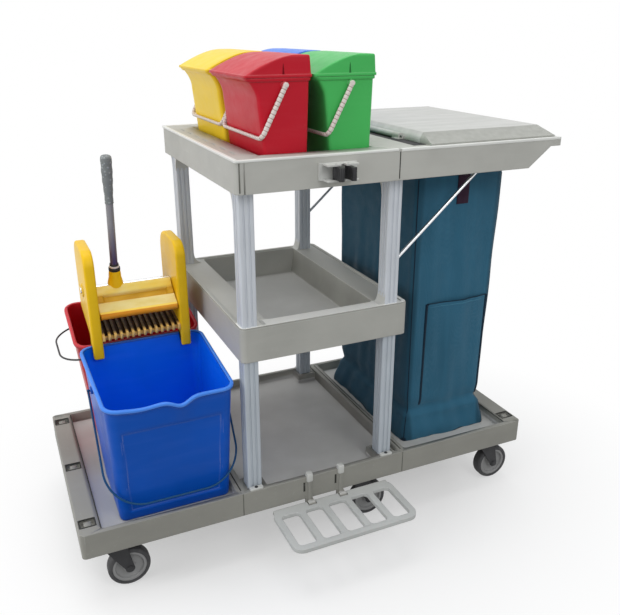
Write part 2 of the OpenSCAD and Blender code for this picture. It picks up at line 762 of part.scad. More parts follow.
// Fork with two raked legs, and its axle with a head on each side
module caster_fork(x, y, brake) translate([x, y, 0]) {
    difference() {
        union() {
            rod_z(0, 0, crown_z, crown_top, 26);
            for (s = [-1, 1]) along_y(s > 0 ? leg_y : -leg_y - leg_t, s > 0 ? leg_y + leg_t : -leg_y) {
                polygon([[-17, crown_z + 1], [17, crown_z + 1], [27, crown_z - 16], [trail + 11, wheel_r],
                    [trail - 11, wheel_r], [-19, crown_z - 16]]);
                translate([trail, wheel_r]) circle(11);
            }
        }
        rod_z(0, 0, crown_z - over, crown_top + over, kingpin_r + run_fit);
        rod_y(trail, -leg_y - leg_t - over, leg_y + leg_t + over, wheel_r, axle_r + fixed_fit);
        if (brake) rod_y(pedal_x, -leg_y - leg_t - over, leg_y + leg_t + over, pedal_z,
            pedal_pin_r + run_fit);
    }
    rod_y(trail, -leg_y - leg_t - 4, leg_y + leg_t + 4, wheel_r, axle_r);
    for (s = [-1, 1]) rod_y(trail, s > 0 ? leg_y + leg_t : -leg_y - leg_t - 4,
        s > 0 ? leg_y + leg_t + 4 : -leg_y - leg_t, wheel_r, axle_r + 3);
}

// Wheel: a turned hub with a thin web, and a rubber tread bonded round it
module caster_wheel(x, y) translate([x + trail, y, wheel_r]) rotate([90, 0, 0]) {
    hub_r = wheel_r - tread_t;
    half = tread_w / 2;
    rotate_extrude() {
        translate([axle_r + run_fit, -half - 1]) square([10, 2 * half + 2]);
        translate([axle_r + run_fit, -4]) square([hub_r - axle_r - run_fit - fixed_fit, 8]);
        translate([hub_r - 7 - fixed_fit, -half + 2]) square([7, 2 * half - 4]);
    }
    rotate_extrude() {
        translate([hub_r, -half]) square([tread_t - 5, 2 * half]);
        translate([hub_r, -half + 5]) square([tread_t, 2 * half - 10]);
        for (s = [-1, 1]) translate([wheel_r - 5, s * (half - 5)]) circle(5);
    }
}

// Brake pedal: a hub between the fork legs and a tread plate pointing outwards
module brake_pedal(x, y) translate([x, y, 0]) {
    half = leg_y - clear;
    rod_y(pedal_x, -half, half, pedal_z, 6);
    rod_y(pedal_x, -leg_y - leg_t, leg_y + leg_t, pedal_z, pedal_pin_r);
    box([pedal_x, -half, pedal_z + 1], [pedal_x + pedal_l, half, pedal_z + 6]);
}

module caster_fork_front_left() color(black) placed() caster_fork(caster_x[0], caster_y[0], false);
module caster_fork_rear_left() color(black) placed() caster_fork(caster_x[0], caster_y[1], false);
module caster_fork_front_middle() color(black) placed() caster_fork(caster_x[1], caster_y[0], false);
module caster_fork_rear_middle() color(black) placed() caster_fork(caster_x[1], caster_y[1], false);
module caster_fork_front_right() color(black) placed() caster_fork(caster_x[2], caster_y[0], true);
module caster_fork_rear_right() color(black) placed() caster_fork(caster_x[2], caster_y[1], true);
module caster_wheel_front_left() color(tread_grey) placed() caster_wheel(caster_x[0], caster_y[0]);
module caster_wheel_rear_left() color(tread_grey) placed() caster_wheel(caster_x[0], caster_y[1]);
module caster_wheel_front_middle() color(tread_grey) placed() caster_wheel(caster_x[1], caster_y[0]);
module caster_wheel_rear_middle() color(tread_grey) placed() caster_wheel(caster_x[1], caster_y[1]);
module caster_wheel_front_right() color(tread_grey) placed() caster_wheel(caster_x[2], caster_y[0]);
module caster_wheel_rear_right() color(tread_grey) placed() caster_wheel(caster_x[2], caster_y[1]);
module brake_pedal_front() color(black) placed() brake_pedal(caster_x[2], caster_y[0]);
module brake_pedal_rear() color(black) placed() brake_pedal(caster_x[2], caster_y[1]);

// Mop buckets

// Discs at the four corners of a bucket level, drawn in or out by a margin
module level(w0, y0, z0, w1, y1, z1, corner, grow) for (s = [-1, 1]) {
    translate([bucket_x + s * (w0 / 2 - corner), y0 + corner, z0 - 0.5])
        cylinder(h = 0.5, r = corner + grow, $fn = 32);
    translate([bucket_x + s * (w1 / 2 - corner), y1 - corner, z1 - 0.5])
        cylinder(h = 0.5, r = corner + grow, $fn = 32);
}

// Tapered bucket wall with a rolled rim, open at the top
module bucket_shell(b) difference() {
    front = deck_z + b[5];
    rear = deck_z + b[8];
    union() {
        hull() {
            level(b[0], b[1], deck_z + 0.5, b[0], b[2], deck_z + 0.5, floor_corner, 0);
            level(b[3], b[4], front, b[6], b[7], rear, bucket_corner, 0);
        }
        hull() {
            level(b[3], b[4], front - 9, b[6], b[7], rear - 9, bucket_corner, 1);
            level(b[3], b[4], front, b[6], b[7], rear, bucket_corner, bucket_lip);
        }
    }
    hull() {
        level(b[0], b[1], deck_z + bucket_t, b[0], b[2], deck_z + bucket_t, floor_corner, -bucket_t);
        level(b[3], b[4], front, b[6], b[7], rear, bucket_corner, -bucket_t);
        level(b[3], b[4], rear + over, b[6], b[7], 2 * rear - front + over, bucket_corner, -bucket_t);
    }
}

spout_r = 70;
spout_deep = 10;
module blue_bucket() color(bucket_blue) placed() difference() {
    union() {
        difference() {
            bucket_shell(blue);
            rod_y(bucket_x + 20, blue[4] - 20, blue[4] + 20,
                deck_z + blue_front_h + spout_r - spout_deep, spout_r);
        }
        for (s = [-1, 1]) rod_x(s > 0 ? bucket_x + blue_half - 13 : bucket_x - blue_half + 4,
            s > 0 ? bucket_x + blue_half - 4 : bucket_x - blue_half + 13, blue_ear_y, blue_ear_z, ear_r);
    }
    for (s = [-1, 1]) rod_x(bucket_x + s * (blue_half - 4) - 10, bucket_x + s * (blue_half - 4) + 10,
        blue_ear_y, blue_ear_z, wire_r + run_fit);
}

module blue_bail() color(bucket_blue) placed() translate([bucket_x, blue_ear_y, blue_ear_z])
    rotate([-blue_hang, 0, 0]) bail(2 * blue_half, blue_reach, blue_bend, wire_r, wire_r, 12);

module red_bucket() color(bucket_red) placed() difference() {
    union() {
        bucket_shell(red);
        for (s = [-1, 1]) rod_y(bucket_x, s > 0 ? red_mid_y + red_half - 22 : red_mid_y - red_half + 4.5,
            s > 0 ? red_mid_y + red_half - 4.5 : red_mid_y - red_half + 22, red_ear_z, ear_r);
    }
    for (s = [-1, 1]) rod_y(bucket_x, red_mid_y + s * (red_half - 4.5) - 10,
        red_mid_y + s * (red_half - 4.5) + 10, red_ear_z, wire_r + run_fit);
}

module red_bail() color(steel) placed() translate([bucket_x, red_mid_y, red_ear_z])
    rotate([0, red_hang, 0]) rotate([0, 0, 90]) bail(2 * red_half, red_reach, 50, wire_r, wire_r, 12);

// Wringer

// Side view of a cheek: round top, a toe that hooks inside the bucket and a step over the rim
module cheek_outline() difference() {
    union() {
        round_rect(cheek_y0, rim_z + heel_h, cheek_y1, cheek_top, cheek_round);
        polygon([[cheek_y0, rim_z - toe_h], [rim_y + step_gap + bucket_lip, rim_z - toe_h],
            [rim_y + step_gap + bucket_lip, rim_z + toe_h], [cheek_y1, rim_z + heel_h],
            [cheek_y1, rim_z + heel_h + cheek_round], [cheek_y0, rim_z + heel_h + cheek_round]]);
    }
    translate([rim_y - toe_gap, rim_z - toe_h - over]) square([cheek_d, toe_h + over + clear]);
}

module wringer_frame() color(wringer_yellow) placed() difference() {
    union() {
        along_x(throat_x0 - cheek_t, throat_x0) cheek_outline();
        along_x(throat_x1, throat_x1 + cheek_t) cheek_outline();
        box([throat_x0 - over, cheek_y1 - 8, rim_z + heel_h + 6],
            [throat_x1 + over, cheek_y1 - 2, rim_z + heel_h + 44]);
    }
    rod_x(throat_x0 - cheek_t - over, throat_x1 + cheek_t + over, shaft_y, shaft_z, shaft_r + run_fit);
}

// Ribs of the grate, carried on a front and a rear bar
module wringer_grate() color(wringer_yellow) placed() {
    y0 = cheek_y0 + 1;
    y1 = y0 + grate_d - 1;
    front_z = rim_z + 18;
    rear_z = rim_z + 37;
    rib_w = 6;
    pitch = (throat_w - rib_w) / (grate_ribs - 1);
    for (i = [0 : grate_ribs - 1]) along_x(throat_x0 + i * pitch, throat_x0 + i * pitch + rib_w)
        polygon([[y0, front_z], [y1, rear_z], [y1, rear_z + 14], [y0, front_z + 14]]);
    box([throat_x0, y0 + 8, front_z], [throat_x1, y0 + 14, front_z + 9]);
    box([throat_x0, y1 - 8, rear_z], [throat_x1, y1, rear_z + 10]);
}

// Frame of the lever: its foot on the shaft, its axis upwards
module on_lever() translate([lever_x, shaft_y, shaft_z]) rotate([lever_lean, 0, 0]) children();

// Press plate: a slotted flap on the shaft, with a round front lip and the lever's square-footed socket
module press_plate() color(wringer_yellow) placed() difference() {
    union() {
        rod_x(press_x0, press_x1, shaft_y, shaft_z, shaft_r + 5);
        translate([0, shaft_y, shaft_z]) rotate([press_drop, 0, 0]) {
            difference() {
                box([press_x0 + 2, -press_l, -press_t / 2], [press_x1 - 2, 0, press_t / 2]);
                slab([press_x0 + 18, -50, -press_t], [press_x1 - 18, -30, press_t], 6);
            }
            rod_x(press_x0 + 1, press_x1 - 1, -press_l, 0, 7);
        }
        on_lever() {
            box([-socket_w, -socket_w, -shaft_r - 2], [socket_w, socket_w, socket_w + 4]);
            translate([0, 0, socket_w]) cylinder(h = socket_l - socket_w, r = tube_r + 4);
        }
    }
    rod_x(press_x0 - over, press_x1 + over, shaft_y, shaft_z, shaft_r + fixed_fit);
    on_lever() translate([0, 0, shaft_r + 6]) cylinder(h = socket_l, r = tube_r + fixed_fit);
}

module press_shaft() color(steel) placed()
    rod_x(throat_x0 - cheek_t - 5, throat_x1 + cheek_t + 5, shaft_y, shaft_z, shaft_r);

module lever_tube() color(tube_grey) placed() on_lever()
    translate([0, 0, shaft_r + 6]) cylinder(h = lever_l - shaft_r - 10, r = tube_r);

module lever_ferrule() color(white) placed() on_lever() translate([0, 0, socket_l]) difference() {
    cylinder(h = 9, r = tube_r + 4);
    translate([0, 0, -over]) cylinder(h = 9 + 2 * over, r = tube_r + fixed_fit);
}

module lever_grip() color(grip_grey) placed() on_lever() translate([0, 0, lever_l - grip_l]) difference() {
    union() {
        cylinder(h = grip_l - 6, r1 = tube_r + 2, r2 = tube_r + 4);
        translate([0, 0, grip_l - 6]) cylinder(h = 6, r1 = tube_r + 4, r2 = tube_r);
    }
    translate([0, 0, -over]) cylinder(h = grip_l - 4 + over, r = tube_r + fixed_fit);
}

// Small pails

// Points of the flared left wall, from the foot up: a straight lean, then a curve out to the rim
function pail_wall(e) = concat([[pail_flare + e, pail_z0]], [for (i = [0 : 5])
    let (t = i / 5) [pail_lip + e + (pail_flare - 16 - pail_lip) * (1 - t * t),
        pail_rim - pail_bend_h * (1 - t)]]);

module pail_outline(wall) polygon(concat(pail_wall(wall),
    [[pail_w - pail_lip - wall, pail_rim], [pail_w - pail_lip - pail_taper - wall, pail_z0]]));

module pail(x, y) translate([x, y, 0]) difference() {
    half = pail_d / 2 - pail_lip;
    union() {
        difference() {
            union() {
                along_y(-half, half) pail_outline(0);
                box([0, -pail_d / 2, pail_rim - 7], [pail_w, pail_d / 2, pail_rim]);
            }
            translate([0, 0, pail_t]) along_y(-half + pail_t, half - pail_t) pail_outline(pail_t);
            box([pail_lip + pail_t, -half + pail_t, pail_rim - 1],
                [pail_w - pail_lip - pail_t, half - pail_t, pail_rim + over]);
        }
        for (s = [-1, 1]) rod_y(pail_pivot_x, s > 0 ? half - 1 : -pail_d / 2 - 1,
            s > 0 ? pail_d / 2 + 1 : -half + 1, pail_pivot_z, 7);
    }
    for (s = [-1, 1]) rod_y(pail_pivot_x, s > 0 ? half : -pail_d, s > 0 ? pail_d : -half,
        pail_pivot_z, pail_bail_r - 0.5 + run_fit);
}

// Wedge lid: slopes up from the flared side to a flat ridge
module pail_lid(x, y) translate([x, y, 0]) {
    w = pail_t;
    top = pail_rim + pail_lid_h;
    difference() {
        along_y(-pail_d / 2, pail_d / 2) polygon([[0, pail_rim], [0, pail_rim + 5], [pail_w - 42, top],
            [pail_w - 3, top], [pail_w, pail_rim + 5], [pail_w, pail_rim]]);
        along_y(-pail_d / 2 + w, pail_d / 2 - w) polygon([[w, pail_rim - over], [w, pail_rim + 4],
            [pail_w - 42, top - w], [pail_w - 3 - w, top - w], [pail_w - w, pail_rim + 4],
            [pail_w - w, pail_rim - over]]);
    }
}

module pail_bail(x, y) translate([x + pail_pivot_x, y, pail_pivot_z]) rotate([0, pail_hang, 0])
    rotate([0, 0, 90]) bail(2 * pail_arm_y, pail_reach, 14, pail_bail_r, pail_bail_r - 0.5, 7);

module red_pail() color(pail_red) placed() pail(pail_x[0], pail_y[0]);
module green_pail() color(pail_green) placed() pail(pail_x[1], pail_y[0]);
module yellow_pail() color(pail_yellow) placed() pail(pail_x[0], pail_y[1]);
module blue_pail() color(pail_blue) placed() pail(pail_x[1], pail_y[1]);
module red_pail_lid() color(pail_red) placed() pail_lid(pail_x[0], pail_y[0]);
module green_pail_lid() color(pail_green) placed() pail_lid(pail_x[1], pail_y[0]);
module yellow_pail_lid() color(pail_yellow) placed() pail_lid(pail_x[0], pail_y[1]);
module blue_pail_lid() color(pail_blue) placed() pail_lid(pail_x[1], pail_y[1]);
module red_pail_bail() color(white) placed() pail_bail(pail_x[0], pail_y[0]);
module green_pail_bail() color(white) placed() pail_bail(pail_x[1], pail_y[0]);
module yellow_pail_bail() color(white) placed() pail_bail(pail_x[0], pail_y[1]);
module blue_pail_bail() color(white) placed() pail_bail(pail_x[1], pail_y[1]);

left_platform();
middle_deck();
right_platform();
lower_posts();
upper_posts();
post_screws();
middle_shelf();
top_shelf();
bag_frame();
front_brace();
rear_brace();
bag();
bag_straps();
lid_hinge_pin();
bag_lid();
grid_hinge_pins();
foot_grid();
clip_bracket();
clip_jaw_left();
clip_jaw_right();
caster_plates();
caster_fork_front_left();
caster_fork_rear_left();
caster_fork_front_middle();
caster_fork_rear_middle();
caster_fork_front_right();
caster_fork_rear_right();
caster_wheel_front_left();
caster_wheel_rear_left();
caster_wheel_front_middle();
caster_wheel_rear_middle();
caster_wheel_front_right();
caster_wheel_rear_right();
brake_pedal_front();
brake_pedal_rear();
blue_bucket();
blue_bail();
red_bucket();
red_bail();
wringer_frame();
wringer_grate();
press_plate();
press_shaft();
lever_tube();
lever_ferrule();
lever_grip();
red_pail();
green_pail();
yellow_pail();
blue_pail();
red_pail_lid();
green_pail_lid();
yellow_pail_lid();
blue_pail_lid();
red_pail_bail();
green_pail_bail();
yellow_pail_bail();
blue_pail_bail();
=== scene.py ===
"""Looks of a janitor cart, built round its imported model.

Shapes are worked out in cart millimetres: X from the left end, Y from the front face of the
platforms, Z from the floor. frame_m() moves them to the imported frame's metres.
"""

import json
import math

import bmesh
import bpy
import numpy as np
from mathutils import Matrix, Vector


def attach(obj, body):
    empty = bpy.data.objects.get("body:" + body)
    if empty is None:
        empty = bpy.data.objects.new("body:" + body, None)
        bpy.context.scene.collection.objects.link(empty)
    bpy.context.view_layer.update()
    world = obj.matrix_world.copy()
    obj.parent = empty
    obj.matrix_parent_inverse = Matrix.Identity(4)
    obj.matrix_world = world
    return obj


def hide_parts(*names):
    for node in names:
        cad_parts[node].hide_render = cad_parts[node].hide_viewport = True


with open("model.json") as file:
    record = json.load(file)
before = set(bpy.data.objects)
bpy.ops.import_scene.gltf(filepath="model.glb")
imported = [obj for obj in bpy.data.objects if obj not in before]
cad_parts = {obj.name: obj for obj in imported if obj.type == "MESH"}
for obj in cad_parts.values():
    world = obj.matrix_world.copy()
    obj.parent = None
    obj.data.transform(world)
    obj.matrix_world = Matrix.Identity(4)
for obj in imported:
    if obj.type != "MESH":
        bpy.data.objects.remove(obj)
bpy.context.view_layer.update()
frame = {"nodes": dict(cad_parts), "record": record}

nodes = frame["nodes"]
BODY_OF = {n: b for b, group in frame["record"]["behaviour"]["bodies"].items() for n in group}
ORIGIN = np.array([602.0, 209.5, 0.0])

# Points closer than this, in metres, are one: in pieces made here, and in copies of CAD forms
SAME, SAME_CAD = 1e-6, 2e-6

# Base, casters and foot grid
DECK, RAIL_TOP = 175.0, 200.0
BASE_L, BASE_D, RAIL_W, MID_Y = 1200.0, 570.0, 48.0, 285.0
JOINTS_X, POCKET_END, POCKET_SIDE = (375.0, 815.0), 22.0, 44.0
GRID_LUGS = (547.0, 633.0)
CASTERS = {"left": 75.0, "middle": 713.0, "right": 1124.0}
ROWS = {"front": 55.0, "rear": 515.0}
TRAIL, WHEEL_R = 28.0, 50.0

# Posts, shelves and bag frame
POSTS_X, POSTS_Y, POST_HALF = (411.0, 768.0), (33.0, 537.0), 18.0
LEDGE_TOP, LEDGE_FRONT = 614.7, 52.0
FRAME_BOTTOM, FRAME_TOP = 918.0, 986.0
TOP_FRONT, TOP_REAR = -15.0, 585.0
CORNER_SEAM_X, SHELF_SEAM_X = 389.0, 757.0
SHELF_LIP_X, FRAME_LIP_X = (380, 754), (760, 1203)
LIP_SPANS = (TOP_FRONT - 1.2, TOP_FRONT + 8.5), (TOP_REAR - 8.5, TOP_REAR + 1.2)

# Mop buckets: half width and ends of the floor, then half width, place and height of the front
# rim and of the rear rim
BUCKET_X = 227.0
BLUE_BUCKET = (131, 46, 270), (142, 15, 308), (149, 318, 328)
RED_BUCKET = (120, 364, 532), (154, 342, 322), (154, 550, 362)
# Y and Z of the bails' pivots, and how far each bail leans from straight down
BLUE_PIVOT, RED_PIVOT = (165, 463), (446, 485)
HANG_BLUE, HANG_RED, HANG_PAIL = math.radians(31), math.radians(82), math.radians(27.78)

# Wringer
SHAFT = np.array([BUCKET_X, 372.0, 632.0])
CHEEK_X = ((106.0, 131.0), (323.0, 348.0))
CHEEK_Y0, CHEEK_Y1, CHEEK_TOP = 292.0, 460.0, 745.0
STEP_Y, HEEL_Y, HEEL_RISE, STEP_TALL = 304.0, 329.0, 57.0, 28.0
RIM_Z = 503.0
PRESS_X = (133.0, 321.0)
PRESS_DROP = math.radians(35)
LEVER_LEAN = math.radians(10)
LEVER_UP = np.array([0.0, -math.sin(LEVER_LEAN), math.cos(LEVER_LEAN)])
LEVER_FOOT = np.array([186.0, SHAFT[1], SHAFT[2]])

# Small pails
PAIL_FLOOR, PAIL_RIM = 940.0, 1136.0
PAIL_H = PAIL_RIM - PAIL_FLOOR
PAIL_W, PAIL_D, PAIL_FLARE = 146.0, 240.0, 50.0
PAIL_PIVOT = 85, PAIL_RIM - 14
PAILS = {"red": (424, 154), "green": (574, 154), "yellow": (424, 416), "blue": (574, 416)}

# Bag
BAG_MID = np.array([995.0, MID_Y])
BAG_HALF = np.array([127.0, 205.0])
BAG_CORNER, BAG_ARC, BAG_SIDE = 16.0, 10, 46
BAG_FLOOR, BAG_BINDING = 175.4, (892, 916.5)
POCKET_X, POCKET_Z = (918, 1104), (266, 566)
STRAP_X, STRAP_Z = (982.3, 1016.3), (824, 907.5)


def frame_m(points):
    """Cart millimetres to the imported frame's metres."""
    return (np.asarray(points, float) - ORIGIN) / 1000.0


def frame_y(y):
    """A place along the cart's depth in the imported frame's metres."""
    return float(frame_m((0.0, y, 0.0))[1])


def srgb(red, green, blue):
    """A colour given as 0 to 255 screen values, as linear light."""
    c = np.array([red, green, blue]) / 255.0
    return tuple(float(v) for v in np.where(c <= 0.04045, c / 12.92, ((c + 0.055) / 1.055) ** 2.4))


def ease(t):
    """Smooth step: 3 t squared less 2 t cubed, held at 0 and 1 outside that span."""
    t = np.clip(t, 0, 1)
    return t * t * (3 - 2 * t)


def eased(x, knots, values):
    """Values joined from knot to knot by smooth steps."""
    knots, values = np.asarray(knots, float), np.asarray(values, float)
    i = np.clip(np.searchsorted(knots, x) - 1, 0, len(knots) - 2)
    t = ease((x - knots[i]) / (knots[i + 1] - knots[i]))
    return values[i] + (values[i + 1] - values[i]) * t


# Surfaces


def grid_quads(n, m, wrap_n=False, wrap_m=False):
    """Quads between the points of an n by m grid, joined round either way where wrapped."""
    i, j = np.meshgrid(np.arange(n if wrap_n else n - 1), np.arange(m if wrap_m else m - 1),
                       indexing="ij")
    i, j = i.ravel(), j.ravel()
    i2, j2 = (i + 1) % n, (j + 1) % m
    return np.stack([i * m + j, i2 * m + j, i2 * m + j2, i * m + j2], 1).tolist()


def rings(points, loop=False, caps=(True, True)):
    """Faces between rings of points stacked along the first index, with capped ends."""
    n, m = points.shape[:2]
    faces = grid_quads(n, m, loop, True)
    for cap, first in zip(caps, (0, (n - 1) * m)):
        if cap and not loop:
            faces.append(list(range(first, first + m)))
    return points.reshape(-1, 3), faces


def joined(*parts):
    """Several surfaces as one list of points and faces."""
    points, faces, start = [], [], 0
    for p, f in parts:
        points.append(p)
        faces += [[i + start for i in face] for face in f]
        start += len(p)
    return np.concatenate(points), faces


def at_heights(x, y, z):
    """Rows of points in X and Y, each row at its own height."""
    return np.stack([x, y, np.broadcast_to(np.reshape(z, (-1, 1)), x.shape)], -1)


def unit(v):
    """Vectors brought to length 1."""
    v = np.asarray(v, float)
    return v / np.linalg.norm(v, axis=-1, keepdims=True)


def circle(sides, first, second):
    """A ring of directions: the turn's cosine on one axis and its sine on the other."""
    turn = np.linspace(0, 2 * math.pi, sides, endpoint=False)[:, None]
    return first * np.cos(turn) + second * np.sin(turn)


def tube(path, radius, plane, sides, flat=1.0):
    """An ellipse carried along a path in a plane: it stands across the tangent, with one of its
    two axes along the plane's normal, flat times the other one. The radius may change along the
    path."""
    path = np.asarray(path, float)
    tangent = unit(np.gradient(path, axis=0))
    up = np.broadcast_to(unit(plane), path.shape)
    across = unit(np.cross(up, tangent))
    ring = circle(sides, across[:, None], up[:, None] * flat)
    radius = np.broadcast_to(np.asarray(radius, float), len(path))
    return rings(path[:, None] + ring * radius[:, None, None])


def lathe(profile, centre, axis, sides, loop=False):
    """A profile of radius and distance along, turned round an axis through a point."""
    radius, along = np.asarray(profile, float).T[..., None, None]
    axis = unit(axis)
    slanted = [0.3, 0.5, 0.8]
    side = unit(np.cross(axis, slanted))
    ring = circle(sides, side, np.cross(axis, side))
    return rings(np.asarray(centre) + along * axis + radius * ring, loop)


def rounded_ring(half_x, half_y, radius, arc, side):
    """Points round rectangles with round corners, one row for each given size: every corner is
    an arc about its own centre, and the straight sides run from arc end to arc end."""
    hx, hy, r = (v[:, None] for v in np.broadcast_arrays(
        *(np.atleast_1d(np.asarray(v, float)) for v in (half_x, half_y, radius))))

    def corner(k, turn):
        """One corner's arc: its centre, plus the radius turned by quarter turns."""
        sx, sy = [(1, 1), (-1, 1), (-1, -1), (1, -1)][k % 4]
        angle = (k + turn) * math.pi / 2
        return sx * (hx - r) + r * np.cos(angle), sy * (hy - r) + r * np.sin(angle)

    turn = np.linspace(0, 1, arc + 1)[None]
    share = np.linspace(0, 1, side + 1)[None, 1:-1]
    xs, ys = [], []
    for k in range(4):
        (x, y), (nx, ny) = corner(k, turn), corner(k + 1, np.zeros((1, 1)))
        xs += [x, x[:, -1:] + (nx - x[:, -1:]) * share]
        ys += [y, y[:, -1:] + (ny - y[:, -1:]) * share]
    return np.concatenate(xs, 1), np.concatenate(ys, 1)


def filleted(corners, radii, steps):
    """A flat outline whose corners are replaced by arcs, each tangent to both of its sides."""
    p = np.asarray(corners, float)
    radii = np.broadcast_to(np.asarray(radii, float), len(p))
    a, b = unit(np.roll(p, 1, 0) - p), unit(np.roll(p, -1, 0) - p)
    half = np.arccos(np.clip((a * b).sum(1), -1, 1)) / 2
    centre = p + unit(a + b) * (radii / np.sin(half))[:, None]
    back = (radii / np.tan(half))[:, None]
    start, end = p + a * back, p + b * back
    t = np.linspace(0, 1, steps)[None, :, None]
    chord = start[:, None] + (end - start)[:, None] * t - centre[:, None]
    arc = centre[:, None] + unit(chord) * radii[:, None, None]
    return arc.reshape(-1, 2)


# Where X, Y and Z lie among a plate's two outline coordinates and its thickness
UPRIGHT, ACROSS_X, ACROSS_Y = [0, 1, 2], [2, 0, 1], [0, 2, 1]


def edged_plate(outline, low, high, edge, order, steps):
    """A flat outline given thickness, its rims rounded: near each face the outline is drawn in
    along its normals by the edge radius times 1 less the sine of a quarter turn, at a height of the
    radius times 1 less its cosine."""
    outline = np.asarray(outline, float)
    tangent = unit(np.roll(outline, -1, 0) - np.roll(outline, 1, 0))
    inward = np.stack([-tangent[:, 1], tangent[:, 0]], 1)
    following = np.roll(outline, -1, 0)
    area = outline[:, 0] * following[:, 1] - outline[:, 1] * following[:, 0]
    inward = inward * np.sign(area.sum())
    turn = np.linspace(0, math.pi / 2, steps)
    draw, rise = edge * (1 - np.sin(turn)), edge * (1 - np.cos(turn))
    draw = np.concatenate([draw, draw[::-1]])
    level = np.concatenate([low + rise, (high - rise)[::-1]])
    flat = outline[None] + inward[None] * draw[:, None, None]
    return rings(at_heights(flat[..., 0], flat[..., 1], level)[..., order])


def block(x, y, z, corner, edge):
    """A block between two places each way, with round upright corners and eased rims."""
    outline = filleted([(x[0], y[0]), (x[1], y[0]), (x[1], y[1]), (x[0], y[1])], corner, 5)
    return edged_plate(outline, z[0], z[1], edge, UPRIGHT, 3)


def square_ring(x, y, half_x, half_y, width, low, high):
    """A flat square ring: a rounded rectangle outside, a smaller one inside, closed all round."""
    inset, level = np.array([0, 0, width, width]), np.array([low, high, high, low], float)
    px, py = rounded_ring(half_x - inset, half_y - inset, 2.5 - inset / width, 4, 4)
    return rings(at_heights(px + x, py + y, level), loop=True)


# Pieces


def in_scene(name, data):
    """An object of some data, put into the scene."""
    thing = bpy.data.objects.new(name, data)
    bpy.context.scene.collection.objects.link(thing)
    return thing


def merged(source, mesh, apart, outwards=False):
    """One mesh's faces written to a mesh, with points closer than a distance made one."""
    bm = bmesh.new()
    bm.from_mesh(source)
    bmesh.ops.remove_doubles(bm, verts=bm.verts, dist=apart)
    if outwards:
        bmesh.ops.recalc_face_normals(bm, faces=bm.faces)
    bm.to_mesh(mesh)
    bm.free()
    return mesh


def finished(name, mesh, finish, sharp, body, stands_for):
    """The object of a mesh: its shading, finish, body, slot and the nodes that it replaces."""
    mesh.polygons.foreach_set("use_smooth", np.ones(len(mesh.polygons), bool))
    mesh.set_sharp_from_angle(angle=math.radians(sharp))
    mesh.materials.append(finish)
    piece = in_scene(name, mesh)
    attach(piece, body)
    if stands_for:
        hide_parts(*stands_for)
    return piece


def add_piece(name, part, finish, node=None, body=None, sharp=40):
    """One object from points in cart millimetres and faces: merged, facing outwards, riding on
    its body, with its finish."""
    points, faces = part
    mesh = bpy.data.meshes.new(name)
    mesh.from_pydata(frame_m(points).tolist(), [], faces)
    return finished(name, merged(mesh, mesh, SAME, True), finish, sharp, body or BODY_OF[node],
                    [node] if node else [])


def trim(name, parts, finish, sharp=40):
    """Small pieces on the cart's frame, joined into one."""
    return add_piece(name, joined(*parts), finish, body="cart", sharp=sharp)


def dressed(node, finish):
    """A merged copy of a CAD node, shaded smooth across its curves and sharp at its edges, with
    the normals of its large flats kept."""
    name = node + "_form"
    mesh = merged(nodes[node].data, bpy.data.meshes.new(name), SAME_CAD)
    piece = finished(name, mesh, finish, 30, BODY_OF[node], [node])
    flats = piece.modifiers.new("flats", "WEIGHTED_NORMAL")
    flats.weight, flats.keep_sharp = 100, True


def thickened(piece, thickness, offset):
    """Cloth given its thickness."""
    cloth = piece.modifiers.new("cloth", "SOLIDIFY")
    cloth.thickness, cloth.offset = thickness, offset


# Finishes


def give(tree, node, values):
    """Outputs to link, or plain values, put on a node's inputs."""
    for key, value in values.items():
        socket = node.inputs[key]
        if isinstance(value, bpy.types.NodeSocket):
            tree.links.new(value, socket)
        elif isinstance(value, tuple):
            socket.default_value = (*value, 1.0)[:len(socket.default_value)]
        else:
            socket.default_value = value


def add_node(tree, kind, values=None, **settings):
    """A shader node of a kind, with its settings and what its inputs are given."""
    node = tree.nodes.new("ShaderNode" + kind)
    for key, value in settings.items():
        setattr(node, key, value)
    give(tree, node, values or {})
    return node


